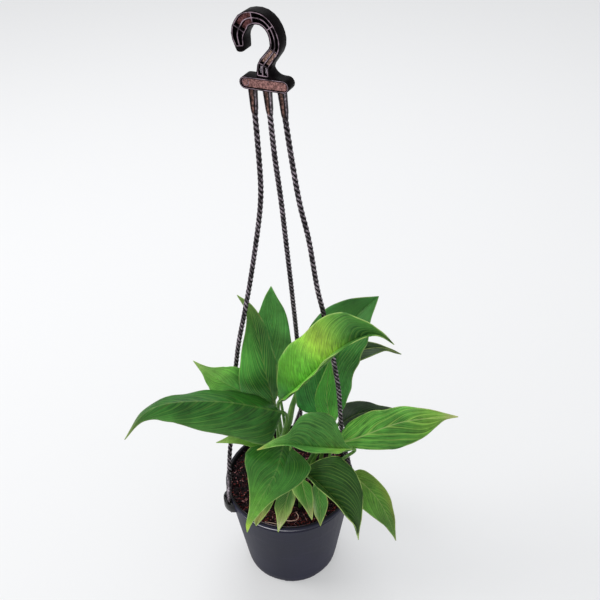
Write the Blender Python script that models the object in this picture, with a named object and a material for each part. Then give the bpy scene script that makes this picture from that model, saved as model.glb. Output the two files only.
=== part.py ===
"""Peace lily in a hanging nursery pot: turned pot, soil, leaves, and a moulded hanger.

Lengths in the tables below are millimetres; mm() turns them into metres.
Origin: centre of the pot's underside. +Z up, +Y away from the viewer.
"""
import bmesh
import bpy
import math
import random
from mathutils import Matrix, Vector

SEED = 11
SMOOTH_ANGLE_DEG = 40.0


def mm(*values):
    """Millimetres to metres: one number, or a vector of several."""
    if len(values) == 1:
        return values[0] * 0.001
    return Vector([v * 0.001 for v in values])


# Pot
POT_HEIGHT = 131.0
POT_RIM_RADIUS = 74.0
POT_BASE_RADIUS = 54.0
POT_WALL = 1.8
POT_FLOOR = 5.0
LIP_HEIGHT = 6.5
LIP_DEPTH = 2.2
RIDGE_DROP = 5.0
RIDGE_OUT = 0.6
POT_SEGMENTS = 48

# Drainage arches round the base edge, each with a hole through the floor
ARCH_COUNT = 6
ARCH_FIRST_DEG = 250.0
ARCH_WIDTH = 19.0
ARCH_DEPTH = 12.0
ARCH_HEIGHT = 2.8
DRAIN_RADIUS = 3.2
DRAIN_INSET = 8.5

# Ears that the straps hang the pot by
EAR_AZIMUTHS_DEG = {"left": 204.0, "back": 84.0, "right": 333.0}
EAR_INNER_RADIUS = 70.9
EAR_REACH = 9.9
EAR_HALF_WIDTH = 13.0
EAR_BOTTOM = 119.0
EAR_TOP = 129.4
EAR_SLOT_RADIUS = 75.7
EAR_SLOT_DEPTH = 5.2
EAR_SLOT_WIDTH = 15.0

# Soil
SOIL_TOP = 120.0
SOIL_BUMP = 1.1
SOIL_CLEARANCE = 0.35
STEM_HOLE_DEPTH = 22.0
STEM_HOLE_CLEARANCE = 0.4

# Hanger: a hook on a bar, and three straps that hang from the bar
BAR_CENTRE = (-6.5, 0.0, 607.5)
BAR_TURN_DEG = -26.0
BAR_TILT_DEG = 2.5
BAR_LENGTH = 43.8
BAR_HEIGHT = 10.4
BAR_THICKNESS = 11.5
BAR_RIM = 1.5
BAR_RECESS = 1.2
STRAP_PITCH = 13.2
HOOK_THICKNESS = 11.3
HOOK_FLANGE = 1.4
HOOK_RIB = 1.2
HOOK_POCKET = 3.4
TIP_ROUNDING = 0.45
NECK_SIDE = 4.9
NECK_FILLET = 9.5

# Hook centre line from its tip to the bar: along the bar, up, half width
HOOK_SPINE = [
    (-19.0, 25.3, 3.6), (-19.9, 30.1, 4.6), (-20.9, 35.2, 5.5), (-20.4, 39.6, 6.0),
    (-17.9, 44.4, 6.2), (-14.3, 49.1, 5.8), (-7.4, 51.6, 5.2), (-0.3, 51.3, 4.7),
    (5.3, 47.9, 4.4), (9.1, 42.6, 4.3), (11.0, 35.8, 4.5), (10.3, 29.2, 4.4),
    (5.6, 22.6, 4.7), (1.1, 16.7, 5.1), (-0.3, 11.5, 5.4), (-0.4, 2.0, 5.8),
]
# Places of the cross ribs, as parts of the way along that line
HOOK_RIBS = (0.03, 0.18, 0.34, 0.51, 0.70, 0.86, 0.95)

# Straps: routes from the bar to the ears
STRAP_CORD_RADIUS = 2.35
STRAP_ROUTES = {
    "left": [(-16, 4, 526), (-17, 4, 495), (-22, 5, 459), (-31, 6, 407), (-39, 6, 367),
             (-48, 7, 323), (-56, 5, 266), (-62, -9, 210), (-65, -19, 184)],
    "back": [(-3, 5, 541), (1, 11, 493), (4, 18, 445), (8, 27, 380), (12, 40, 305), (15, 57, 220),
             (14, 69, 168)],
    "right": [(8, -8, 573), (13, -10, 533), (18, -12, 500), (25, -14, 466), (32, -17, 416),
              (38, -19, 386), (47, -23, 335), (53, -26, 292), (56, -30, 247), (60, -33, 215),
              (65, -35, 189)],
}
STRAP_STATIONS = 32
STRAP_ROOT_WIDTH = 7.6
STRAP_ROOT_EXTRA = 0.4
STRAP_ROOT_LENGTH = 24.0
STRAP_ROOT_DROP = 14.0
STRAP_FORK_LENGTH = 34.0
STRAP_FORK_SWELL = 0.6
STRAP_GAP = 0.7
TONGUE_WIDTH = 9.0
TONGUE_THICKNESS = 3.0
HEAD_WIDTH = 19.0
HEAD_HEIGHT = 4.0

# Leaves. foot: where the stalk leaves the soil. rib: midrib from collar to tip.
# left, right: half widths at the blade stations. fold: how far each half rises
# (or droops, if negative) from flat. face: the way the upper side looks, collar to tip.
BLADE_STATIONS = (0.05, 0.12, 0.22, 0.34, 0.46, 0.58, 0.70, 0.81, 0.91)
LEAVES = {
    "leaf_left": dict(
        foot=(-20, -6),
        rib=[(-5, -28, 265), (-59, -50, 303), (-110, -62, 315), (-137, -66, 304),
             (-159, -68, 272)],
        left=(34, 36, 34, 32, 29, 22, 15, 6, 2), right=(15, 26, 25, 22, 18, 13, 10, 6, 3.5),
        fold=-30, face=[(0, -0.35, 1)]),
    "leaf_left_back": dict(
        foot=(-27, 12),
        rib=[(-28, 12, 236), (-51, 1, 269), (-72, -10, 298), (-83, -14, 314), (-91, -16, 327)],
        left=(5, 12, 15, 17, 17, 16, 11, 5, 2), right=(5, 12, 17, 23, 23, 21, 16, 7, 3),
        fold=5, face=[(0.15, -1, 0.45)]),
    "leaf_tall_back": dict(
        foot=(-2, 26),
        rib=[(-8, 26, 231), (-13, 34, 281), (-14, 39, 332), (-13, 42, 374)],
        left=(4, 9, 14, 17, 19, 19, 17, 12, 7), right=(3, 8, 13, 18, 20, 19, 17, 13, 6),
        fold=8, face=[(0.1, -1, 0.35)]),
    "leaf_tall_left": dict(
        foot=(-12, 8),
        rib=[(-13, -3, 248), (-20, -6, 296), (-26, 8, 328), (-34, 16, 359), (-46, 22, 379)],
        left=(11, 22, 30, 29, 24, 19, 11, 5, 1.5), right=(2, 6, 9, 12, 14, 13, 12, 10, 6),
        fold=12, face=[(-0.2, -1, 0.35)]),
    "leaf_arched": dict(
        foot=(-2, -6), stalk=(3.4, 2.9, 1.7),
        rib=[(-7, -16, 269), (14, -40, 314), (36, -59, 359), (53, -71, 390), (72, -79, 410),
             (84, -81, 411), (97, -82, 401)],
        left=(7, 16, 26, 33, 35, 32, 32, 27, 5), right=(4, 10, 16, 20, 22, 20, 20, 16, 3),
        fold=46, face=[(-0.92, -0.18, 0.34), (-0.92, -0.21, 0.34), (-0.9, -0.26, 0.35),
                       (-0.8, -0.19, 0.56), (0.62, -0.38, 0.69)]),
    "leaf_right_tall": dict(
        foot=(24, 6),
        rib=[(58, 2, 225), (52, 6, 277), (58, 12, 323), (74, 20, 352), (95, 28, 369)],
        left=(39, 46, 45, 42, 39, 38, 33, 24, 11), right=(3, 9, 16, 22, 24, 28, 28, 20, 10),
        fold=18, face=[(-0.5, -0.9, 0.45)]),
    "leaf_right_far": dict(
        foot=(-6, 17), stalk=(3.5, 3.9, 1.5), via=[(-7, 17, 172), (1, 19, 201), (6, 24, 224), (18, 34, 245)],
        rib=[(48, 44, 249), (71, 43, 279), (101, 43, 287), (125, 43, 277)],
        left=(6, 10, 12, 13, 13, 9, 5, 2, 1.5), right=(2, 6, 11, 13, 13, 12, 8, 3, 2),
        fold=8, face=[(0.1, -0.3, 1)]),
    "leaf_centre": dict(
        foot=(16, -2),
        rib=[(47, -8, 219), (42, -9, 262), (43, -7, 291), (45, -4, 316)],
        left=(3, 7, 10, 13, 13, 11, 8, 5, 2), right=(3, 7, 11, 12, 12, 11, 8, 5, 3),
        fold=8, face=[(0, -1, 0.4)]),
    "leaf_right_back": dict(
        foot=(36, 20),
        rib=[(58, 22, 192), (83, 24, 207), (124, 24, 211)],
        left=(6, 13, 19, 17, 14, 11, 7, 5, 2.5), right=(6, 13, 19, 17, 14, 11, 7, 5, 2),
        fold=5, face=[(0, -0.2, 1)]),
    "leaf_right": dict(
        foot=(47, -9),
        rib=[(54, -44, 233), (79, -47, 248), (99, -48, 260), (119, -47, 267), (144, -46, 270),
             (173, -44, 269)],
        left=(12, 18, 20, 21, 17, 16, 12, 8, 4), right=(6, 10, 15, 21, 24, 23, 19, 10, 2),
        fold=-8, face=[(0, -0.6, 0.8)]),
    "leaf_front": dict(
        foot=(-7, -24),
        rib=[(3, -44, 228), (-7, -72, 220), (-27, -87, 194), (-40, -89, 167), (-45, -89, 148)],
        left=(17, 27, 24, 17, 10, 6, 4, 2.5, 1.5), right=(26, 40, 42, 39, 27, 15, 8, 5, 3),
        fold=-4, face=[(0.05, -0.75, 0.75)]),
    "leaf_front_top": dict(
        foot=(35, -20),
        rib=[(65, -58, 240), (33, -62, 248), (13, -64, 254), (-7, -66, 258), (-30, -68, 253)],
        left=(3, 11, 23, 24, 24, 20, 7, 4, 2), right=(4, 16, 32, 35, 34, 28, 10, 6, 3),
        fold=40, face=[(0.2, -0.07, 0.98), (0.25, -0.08, 0.97), (0.26, -0.08, 0.96),
                       (-0.07, -0.09, 0.99), (-0.24, -0.12, 0.96)]),
    "leaf_front_right": dict(
        foot=(19, -26),
        rib=[(15, -50, 198), (31, -65, 196), (48, -78, 185), (61, -86, 171), (69, -89, 155),
             (73, -90, 132)],
        left=(13, 25, 36, 36, 32, 23, 12, 5, 2), right=(6, 12, 18, 18, 16, 11, 6, 3, 1.5),
        fold=44, face=[(0.09, 0.05, 0.99), (0.36, -0.16, 0.92), (0.56, -0.31, 0.77),
                       (0.74, -0.59, 0.33), (0.67, -0.73, 0.14)]),
    "leaf_right_front": dict(
        foot=(50, 6),
        rib=[(69, -19, 156), (94, -37, 140), (110, -49, 113), (120, -54, 78)],
        left=(10, 13, 14, 14, 13, 10, 7, 4, 2), right=(4, 9, 18, 21, 18, 13, 8, 5, 2),
        fold=5, face=[(0.25, -0.65, 0.75)]),
    "leaf_under_left": dict(
        foot=(-28, -12),
        rib=[(-14, -22, 213), (-44, -33, 232), (-74, -42, 236)],
        left=(9, 12, 9, 5, 1.5), right=(7, 9, 8, 6, 2),
        fold=5, face=[(0, -0.6, 0.8)]),
    "leaf_small_front": dict(
        foot=(2, -37),
        rib=[(1, -48, 168), (-6, -58, 147), (-13, -76, 129)],
        left=(5, 9, 9, 6, 1.5), right=(8, 11, 11, 6, 2),
        fold=8, face=[(0, -0.8, 0.6)]),
    "leaf_small_middle": dict(
        foot=(11, -37),
        rib=[(13, -44, 178), (18, -58, 163), (24, -69, 140)],
        left=(4, 9, 8, 5, 2), right=(9, 12, 8, 4, 1.5),
        fold=8, face=[(0, -0.8, 0.6)]),
    "leaf_small_right": dict(
        foot=(28, -38),
        rib=[(30, -44, 172), (33, -58, 154), (33, -72, 133)],
        left=(3, 8, 9, 6, 2), right=(4, 9, 9, 7, 2),
        fold=10, face=[(0, -0.8, 0.6)]),
    "leaf_small_left": dict(
        foot=(-10, -36),
        rib=[(-20, -44, 160), (-27, -56, 147), (-37, -68, 130)],
        left=(2, 7, 6, 4, 1.5), right=(2, 6, 7, 6, 4),
        fold=8, face=[(0, -0.8, 0.6)]),
}
BLADE_THICKNESS = 0.8
TIP_HALF_WIDTH = 0.5
WAVE_HEIGHT = 0.04
STALK_STEPS = 5
# Stalk radii at the soil, half way up and at the collar
LARGE_STALK = (2.7, 1.9, 1.5)
SMALL_STALK = (1.7, 1.2, 1.0)

COLOURS = {
    "pot_plastic": ((0.045, 0.045, 0.055, 1.0), 0.55),
    "soil": ((0.055, 0.022, 0.014, 1.0), 0.95),
    "leaf_green": ((0.035, 0.16, 0.025, 1.0), 0.42),
    "hanger_plastic": ((0.018, 0.014, 0.015, 1.0), 0.38),
}


def clear_scene():
    for obj in list(bpy.data.objects):
        bpy.data.objects.remove(obj, do_unlink=True)


def make_material(name):
    colour, roughness = COLOURS[name]
    material = bpy.data.materials.new(name)
    material.use_nodes = True
    shader = material.node_tree.nodes["Principled BSDF"]
    shader.inputs["Base Color"].default_value = colour
    shader.inputs["Roughness"].default_value = roughness
    shader.inputs["Metallic"].default_value = 0.0
    return material


def add_collection(name):
    collection = bpy.data.collections.new(name)
    bpy.context.scene.collection.children.link(collection)
    return collection


def add_object(name, mesh, collection, material=None):
    obj = bpy.data.objects.new(name, mesh)
    collection.objects.link(obj)
    if material:
        mesh.materials.append(material)
    return obj


def mesh_from(bm, name):
    """Finish a bmesh: outward faces, then a mesh of that name, smooth but for its edges."""
    bmesh.ops.recalc_face_normals(bm, faces=bm.faces)
    mesh = bpy.data.meshes.new(name)
    bm.to_mesh(mesh)
    bm.free()
    mesh.shade_smooth()
    mesh.set_sharp_from_angle(angle=math.radians(SMOOTH_ANGLE_DEG))
    return mesh


def hide_cutter(obj):
    obj.hide_render = True
    obj.display_type = "WIRE"


def add_boolean(obj, operation, other=None, collection=None):
    modifier = obj.modifiers.new(operation.lower(), "BOOLEAN")
    modifier.operation = operation
    modifier.solver = "EXACT"
    if collection:
        modifier.operand_type = "COLLECTION"
        modifier.collection = collection
    else:
        modifier.object = other
    return modifier


def spline(points, count):
    """A smooth curve through the points, read at even steps along its chords."""
    pts = [Vector(p) for p in points]
    pts = [2 * pts[0] - pts[1]] + pts + [2 * pts[-1] - pts[-2]]
    chords = [(pts[i + 2] - pts[i + 1]).length for i in range(len(pts) - 3)]
    total = sum(chords)
    result = []
    for k in range(count):
        way = total * k / (count - 1)
        i = 0
        while i < len(chords) - 1 and way > chords[i]:
            way -= chords[i]
            i += 1
        t = way / chords[i]
        a, b, c, d = pts[i:i + 4]
        result.append(0.5 * (2 * b + (c - a) * t + (2 * a - 5 * b + 4 * c - d) * t * t
                             + (3 * b - a - 3 * c + d) * t ** 3))
    return result


def tangents(points):
    """Unit directions along a list of points."""
    last = len(points) - 1
    return [(points[min(i + 1, last)] - points[max(i - 1, 0)]).normalized()
            for i in range(len(points))]


def polar(radius, azimuth_deg, height):
    angle = math.radians(azimuth_deg)
    return (radius * math.cos(angle), radius * math.sin(angle), height)


def pot_outer_radius(z):
    """Outside of the pot's tapered wall at a height."""
    neck = POT_RIM_RADIUS - LIP_DEPTH
    return POT_BASE_RADIUS + (neck - POT_BASE_RADIUS) * (z / (POT_HEIGHT - LIP_HEIGHT)) ** 0.92


def pot_inner_radius(z):
    return pot_outer_radius(min(z, POT_HEIGHT - LIP_HEIGHT)) - POT_WALL


def turned_mesh(profile, segments, name):
    """Spin a chain of (radius, height) points that starts and ends on the axis."""
    bm = bmesh.new()
    verts = [bm.verts.new(mm(r, 0.0, z)) for r, z in profile]
    edges = [bm.edges.new(pair) for pair in zip(verts, verts[1:])]
    bmesh.ops.spin(bm, geom=verts + edges, cent=(0, 0, 0), axis=(0, 0, 1),
                   angle=math.tau, steps=segments, use_merge=True)
    bmesh.ops.remove_doubles(bm, verts=bm.verts, dist=0.00001)
    return mesh_from(bm, name)


def box_mesh(bm, centre, size, turn_deg):
    """A box turned about Z, given in millimetres."""
    made = bmesh.ops.create_cube(bm, size=1.0)["verts"]
    bmesh.ops.scale(bm, verts=made, vec=mm(*size))
    rotate_about_z(bm, made, turn_deg)
    bmesh.ops.translate(bm, verts=made, vec=mm(*centre))


def rotate_about_z(bm, verts, turn_deg):
    turn = Matrix.Rotation(math.radians(turn_deg), 3, "Z")
    bmesh.ops.rotate(bm, verts=verts, cent=(0, 0, 0), matrix=turn)


def build_pot(parts, cutters, material):
    lip_low = POT_HEIGHT - LIP_HEIGHT
    rim = POT_RIM_RADIUS
    ridge_low = lip_low - RIDGE_DROP
    inner_floor = pot_inner_radius(POT_FLOOR) - 3.0
    profile = [
        (0.0, POT_FLOOR), (inner_floor, POT_FLOOR),
        (pot_inner_radius(POT_FLOOR + 3.0), POT_FLOOR + 3.0),
        (pot_inner_radius(lip_low), lip_low),
        (pot_inner_radius(lip_low) + 0.3, POT_HEIGHT - 1.0),
        (pot_inner_radius(lip_low) + 1.0, POT_HEIGHT),
        (rim - 0.9, POT_HEIGHT), (rim, POT_HEIGHT - 1.0),
        (rim - 0.2, lip_low + 0.8), (rim - LIP_DEPTH + 0.5, lip_low),
        (pot_outer_radius(ridge_low + 1.6), ridge_low + 2.0),
        (pot_outer_radius(ridge_low) + RIDGE_OUT, ridge_low + 1.0),
        (pot_outer_radius(ridge_low), ridge_low),
        (pot_outer_radius(60.0), 60.0), (pot_outer_radius(12.0), 12.0),
        (pot_outer_radius(2.0), 2.0), (POT_BASE_RADIUS - 0.2, 0.8),
        (POT_BASE_RADIUS - 1.2, 0.0), (0.0, 0.0),
    ]
    pot = add_object("pot", turned_mesh(profile, POT_SEGMENTS, "pot"), parts, material)

    bm = bmesh.new()
    for azimuth in EAR_AZIMUTHS_DEG.values():
        add_ear(bm, azimuth)
    ears = add_object("ear_blocks", mesh_from(bm, "ear_blocks"), cutters)
    hide_cutter(ears)

    bm = bmesh.new()
    slot_height = EAR_TOP - EAR_BOTTOM + 8.0
    slot_mid = (EAR_TOP + EAR_BOTTOM) / 2
    for azimuth in EAR_AZIMUTHS_DEG.values():
        box_mesh(bm, polar(EAR_SLOT_RADIUS, azimuth, slot_mid),
                 (EAR_SLOT_DEPTH, EAR_SLOT_WIDTH, slot_height), azimuth)
    for k in range(ARCH_COUNT):
        azimuth = ARCH_FIRST_DEG + 360.0 * k / ARCH_COUNT
        arch_mid = POT_BASE_RADIUS + 2.0 - ARCH_DEPTH / 2
        box_mesh(bm, polar(arch_mid, azimuth, ARCH_HEIGHT / 2 - 1.0),
                 (ARCH_DEPTH + 4.0, ARCH_WIDTH, ARCH_HEIGHT + 2.0), azimuth)
    openings = add_object("pot_openings", mesh_from(bm, "pot_openings"), cutters)
    hide_cutter(openings)

    bm = bmesh.new()
    for k in range(ARCH_COUNT):
        azimuth = ARCH_FIRST_DEG + 360.0 * k / ARCH_COUNT
        made = bmesh.ops.create_cone(bm, cap_ends=True, segments=10, radius1=mm(DRAIN_RADIUS),
                                     radius2=mm(DRAIN_RADIUS), depth=mm(POT_FLOOR + 4.0))["verts"]
        centre = polar(POT_BASE_RADIUS - DRAIN_INSET, azimuth, POT_FLOOR / 2)
        bmesh.ops.translate(bm, verts=made, vec=mm(*centre))
    drains = add_object("pot_drains", mesh_from(bm, "pot_drains"), cutters)
    hide_cutter(drains)

    add_boolean(pot, "UNION", ears)
    add_boolean(pot, "DIFFERENCE", openings)
    add_boolean(pot, "DIFFERENCE", drains)
    return pot


def add_ear(bm, azimuth_deg):
    """A D-shaped block on the pot's wall, which the slot turns into a loop."""
    steps = 12
    outline = []
    for k in range(steps + 1):
        angle = math.pi * (k / steps - 0.5)
        outline.append((EAR_INNER_RADIUS + EAR_REACH * math.cos(angle),
                        EAR_HALF_WIDTH * math.sin(angle)))
    verts = [bm.verts.new(mm(x, y, EAR_BOTTOM)) for x, y in outline]
    face = bm.faces.new(verts)
    top = bmesh.ops.extrude_face_region(bm, geom=[face])
    moved = [g for g in top["geom"] if isinstance(g, bmesh.types.BMVert)]
    bmesh.ops.translate(bm, verts=moved, vec=mm(0, 0, EAR_TOP - EAR_BOTTOM))
    rotate_about_z(bm, verts + moved, azimuth_deg)


def build_soil(parts, cutters, material, rng):
    base = POT_FLOOR + SOIL_CLEARANCE
    wall_low = base + 3.4
    top_rings = (16.0, 31.0, 45.0, 58.0)
    edge = pot_inner_radius(SOIL_TOP - 2.0) - SOIL_CLEARANCE
    profile = [(0.0, SOIL_TOP)] + [(r, SOIL_TOP) for r in top_rings]
    profile += [(edge - 1.2, SOIL_TOP - 0.6), (edge, SOIL_TOP - 2.0),
                (pot_inner_radius(wall_low) - SOIL_CLEARANCE, wall_low),
                (pot_inner_radius(POT_FLOOR) - 3.6, base), (0.0, base)]
    mesh = turned_mesh(profile, POT_SEGMENTS, "soil")
    level = mm(SOIL_TOP) - 0.0001
    for v in mesh.vertices:
        if v.co.z > level:
            v.co.z += mm(rng.uniform(-SOIL_BUMP, SOIL_BUMP))
    soil = add_object("soil", mesh, parts, material)

    bm = bmesh.new()
    for leaf in LEAVES.values():
        radius = stalk_radius(leaf, 0.0) + STEM_HOLE_CLEARANCE
        height = STEM_HOLE_DEPTH + 6.0
        made = bmesh.ops.create_cone(bm, cap_ends=True, segments=10, radius1=mm(radius),
                                     radius2=mm(radius), depth=mm(height))["verts"]
        x, y = leaf["foot"]
        bmesh.ops.translate(bm, verts=made, vec=mm(x, y, SOIL_TOP - STEM_HOLE_DEPTH + height / 2))
    holes = add_object("stem_holes", mesh_from(bm, "stem_holes"), cutters)
    hide_cutter(holes)
    add_boolean(soil, "DIFFERENCE", holes)
    return soil


def is_small(leaf):
    """Small leaves give their widths at every second station only."""
    return len(leaf["left"]) < len(BLADE_STATIONS)


def stalk_radius(leaf, way):
    """Stalk radius from the soil (0) to the collar (1), in millimetres."""
    foot, middle, collar = leaf.get("stalk", SMALL_STALK if is_small(leaf) else LARGE_STALK)
    if way < 0.5:
        return foot + (middle - foot) * way * 2
    return middle + (collar - middle) * (way * 2 - 1)


def stalk_points(leaf, collar, start_dir):
    """From below the soil straight up, then in one bend to the collar."""
    x, y = leaf["foot"]
    below = [Vector((x, y, SOIL_TOP - STEM_HOLE_DEPTH + 0.8)), Vector((x, y, SOIL_TOP - 4.0))]
    foot = Vector((x, y, SOIL_TOP + 3.0))
    if "via" in leaf:
        return below + spline([foot] + leaf["via"] + [collar], STALK_STEPS + 3)[:-1]
    reach = (collar - foot).length
    handle_a = foot + Vector((0, 0, reach * 0.45))
    handle_b = collar - start_dir * reach * 0.15
    bend = []
    for k in range(STALK_STEPS):
        t = k / STALK_STEPS
        bend.append((1 - t) ** 3 * foot + 3 * t * (1 - t) ** 2 * handle_a
                    + 3 * t * t * (1 - t) * handle_b + t ** 3 * collar)
    return below + bend


def facing(leaf, t):
    """The way the upper side looks at a part of the way from collar to tip."""
    faces = [Vector(f) for f in leaf["face"]]
    if len(faces) == 1:
        return faces[0]
    place = t * (len(faces) - 1)
    low = min(int(place), len(faces) - 2)
    return faces[low].lerp(faces[low + 1], place - low)


def leaf_ring(centre, along, leaf, t, half_widths, rib_radius, wave):
    """One section: points over the upper side, and as many under the lower."""
    look = facing(leaf, t)
    normal = (look - along * look.dot(along)).normalized()
    side = along.cross(normal)
    fold = math.radians(leaf["fold"])
    columns = 5 if is_small(leaf) else 7
    upper, lower = [], []
    for i in range(columns):
        u = 2 * i / (columns - 1) - 1
        x = u * half_widths[u > 0]
        sign = (u > 0) - (u < 0)
        lift = side * x * math.cos(fold) + normal * abs(x) * math.sin(fold)
        out = normal * math.cos(fold * abs(sign)) - side * sign * math.sin(fold)
        depth = max(math.sqrt(max(0.0, rib_radius ** 2 - x ** 2)), BLADE_THICKNESS / 2)
        middle = centre + lift + out * wave * abs(x * u)
        upper.append(middle + out * depth)
        lower.append(middle - out * depth)
    return upper, lower


def leaf_mesh(name, leaf, rng):
    """Stalk and blade in one loft, both faces split into triangles alike."""
    stations = BLADE_STATIONS[::2] if is_small(leaf) else BLADE_STATIONS
    ways = (0.0,) + stations + (1.0,)
    fine = 200
    curve = spline(leaf["rib"], fine + 1)
    rib = [curve[round(t * fine)] for t in ways]
    stalk = stalk_points(leaf, rib[0], (rib[1] - rib[0]).normalized())
    path = stalk + rib
    along = tangents(path)
    phase = rng.uniform(0, math.tau)
    rings = []
    for k, centre in enumerate(stalk):
        radius = stalk_radius(leaf, k / len(stalk))
        rings.append(leaf_ring(centre, along[k], leaf, 0.0, (radius, radius), radius, 0.0))
    for k, t in enumerate(ways):
        rib_radius = stalk_radius(leaf, 1.0) * (1 - t) + 0.3
        if t in stations:
            halves = (leaf["left"][k - 1], leaf["right"][k - 1])
        else:
            halves = (max(rib_radius * (1 - t), TIP_HALF_WIDTH),) * 2
        wave = WAVE_HEIGHT * math.sin(phase + 5.0 * math.pi * t) * math.sin(math.pi * t)
        place = len(stalk) + k
        rings.append(leaf_ring(rib[k], along[place], leaf, t, halves, rib_radius, wave))
    return skin_leaf(rings, name)


def skin_leaf(rings, name):
    bm = bmesh.new()
    upper = [[bm.verts.new(p * 0.001) for p in ring[0]] for ring in rings]
    lower = [[bm.verts.new(p * 0.001) for p in ring[1]] for ring in rings]
    last = len(upper[0]) - 1
    for k in range(len(rings) - 1):
        for side in (upper, lower):
            near, far = side[k], side[k + 1]
            for i in range(last):
                bm.faces.new((near[i], near[i + 1], far[i + 1]))
                bm.faces.new((near[i], far[i + 1], far[i]))
        for i in (0, last):
            bm.faces.new((upper[k][i], upper[k + 1][i], lower[k + 1][i], lower[k][i]))
    for k in (0, len(rings) - 1):
        bm.faces.new(upper[k] + lower[k][::-1])
    return mesh_from(bm, name)


def bar_frame():
    """Directions along the bar and out of its front face."""
    angle = math.radians(BAR_TURN_DEG)
    along = Vector((math.cos(angle), math.sin(angle), 0))
    front = Vector((math.sin(angle), -math.cos(angle), 0))
    return along, front


def plate_point(u, w, depth):
    """A point of the hook's plane: along the bar, up, and out of the front, in metres."""
    along, front = bar_frame()
    return (Vector(BAR_CENTRE) + along * u + front * depth + Vector((0, 0, w))) * 0.001


def add_prism(bm, outline, depth_low, depth_high):
    """Extrude an outline of (along, up) points through the plate."""
    verts = [bm.verts.new(plate_point(u, w, depth_low)) for u, w in outline]
    face = bm.faces.new(verts)
    made = bmesh.ops.extrude_face_region(bm, geom=[face])
    moved = [g for g in made["geom"] if isinstance(g, bmesh.types.BMVert)]
    shift = plate_point(0, 0, depth_high) - plate_point(0, 0, depth_low)
    bmesh.ops.translate(bm, verts=moved, vec=shift)


def hook_rail(way):
    """Centre, side direction and half width of the hook a part of the way along."""
    samples = hook_samples()
    place = way * (len(samples) - 1)
    low = min(int(place), len(samples) - 2)
    blend = place - low
    a, b = samples[low], samples[low + 1]
    return [a[i].lerp(b[i], blend) for i in (0, 1)] + [a[2] + (b[2] - a[2]) * blend]


def hook_samples(count=41):
    points = spline(HOOK_SPINE, count)
    flat = [Vector((p.x, p.y)) for p in points]
    heads = tangents(flat)
    sides = [Vector((-h.y, h.x)) for h in heads]
    return [(flat[i], sides[i], points[i].z) for i in range(count)]


def lane_outline(way_low, way_high, offset_low, offset_high, steps):
    """Outline of a strip of the hook between two ribs; offsets come from the half width."""
    low_side, high_side = [], []
    for k in range(steps + 1):
        centre, side, half = hook_rail(way_low + (way_high - way_low) * k / steps)
        low_side.append(centre + side * offset_low(half))
        high_side.append(centre + side * offset_high(half))
    return [tuple(p) for p in low_side + high_side[::-1]]


def hook_outline():
    """Outside of the hook, with a rounded tip."""
    samples = hook_samples(25)
    left = [c + s * h for c, s, h in samples]
    right = [c - s * h for c, s, h in samples]
    centre, side, half = samples[0]
    back = (samples[0][0] - samples[1][0]).normalized() * TIP_ROUNDING
    tip = []
    for k in range(1, 5):
        angle = math.pi * k / 5
        tip.append(centre + (back * math.sin(angle) - side * math.cos(angle)) * half)
    return [tuple(p) for p in left[::-1] + tip[::-1] + right]


def bar_outline(length, height, steps=8):
    """Outline of a bar with round ends, tilted as it hangs."""
    tilt = Matrix.Rotation(math.radians(BAR_TILT_DEG), 2)
    radius = height / 2
    half = length / 2 - radius
    outline = []
    for sign in (1, -1):
        for k in range(steps + 1):
            angle = math.pi * (k / steps - 0.5)
            point = Vector((half + radius * math.cos(angle), radius * math.sin(angle)))
            outline.append(tuple(tilt @ (sign * point)))
    return outline


def bar_block_outline():
    """The bar from the front, with a round fillet up to the right side of the neck."""
    ends = bar_outline(BAR_LENGTH, BAR_HEIGHT)
    tilt = Matrix.Rotation(math.radians(BAR_TILT_DEG), 2)
    top = BAR_HEIGHT / 2
    fillet = []
    for k in range(7):
        angle = math.radians(-90.0 - 15.0 * k)
        fillet.append((NECK_SIDE + NECK_FILLET * (1 + math.cos(angle)),
                       top + NECK_FILLET * (1 + math.sin(angle))))
    fillet += [(NECK_SIDE - 2.5, top + NECK_FILLET), (NECK_SIDE - 2.5, top)]
    half = len(ends) // 2
    return ends[:half] + [tuple(tilt @ Vector(p)) for p in fillet] + ends[half:]


def build_hook(parts, cutters, material):
    bm = bmesh.new()
    add_prism(bm, hook_outline(), -HOOK_THICKNESS / 2, HOOK_THICKNESS / 2)
    hook = add_object("hanger_hook", mesh_from(bm, "hanger_hook"), parts, material)

    bm = bmesh.new()
    add_prism(bm, bar_block_outline(), -BAR_THICKNESS / 2, BAR_THICKNESS / 2)
    bar = add_object("hanger_bar_block", mesh_from(bm, "hanger_bar_block"), cutters)
    hide_cutter(bar)

    bm = bmesh.new()
    panel = bar_outline(BAR_LENGTH - 2 * BAR_RIM, BAR_HEIGHT - 2 * BAR_RIM)
    for sign in (1, -1):
        outer = sign * (BAR_THICKNESS / 2 + 1.0)
        inner = sign * (BAR_THICKNESS / 2 - BAR_RECESS)
        add_prism(bm, panel, min(outer, inner), max(outer, inner))
    ends = list(HOOK_RIBS)
    for low, high in zip(ends, ends[1:]):
        for lane in (1, -1):
            outline = lane_outline(low + 0.008, high - 0.008,
                                   lambda half, s=lane: s * HOOK_RIB / 2,
                                   lambda half, s=lane: s * (half - HOOK_FLANGE), 4)
            for sign in (1, -1):
                outer = sign * (HOOK_THICKNESS / 2 + 1.0)
                inner = sign * (HOOK_THICKNESS / 2 - HOOK_POCKET)
                add_prism(bm, outline, min(outer, inner), max(outer, inner))
    pockets = add_object("hanger_pockets", mesh_from(bm, "hanger_pockets"), cutters)
    hide_cutter(pockets)
    add_boolean(hook, "UNION", bar)
    add_boolean(hook, "DIFFERENCE", pockets)
    return hook


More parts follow.
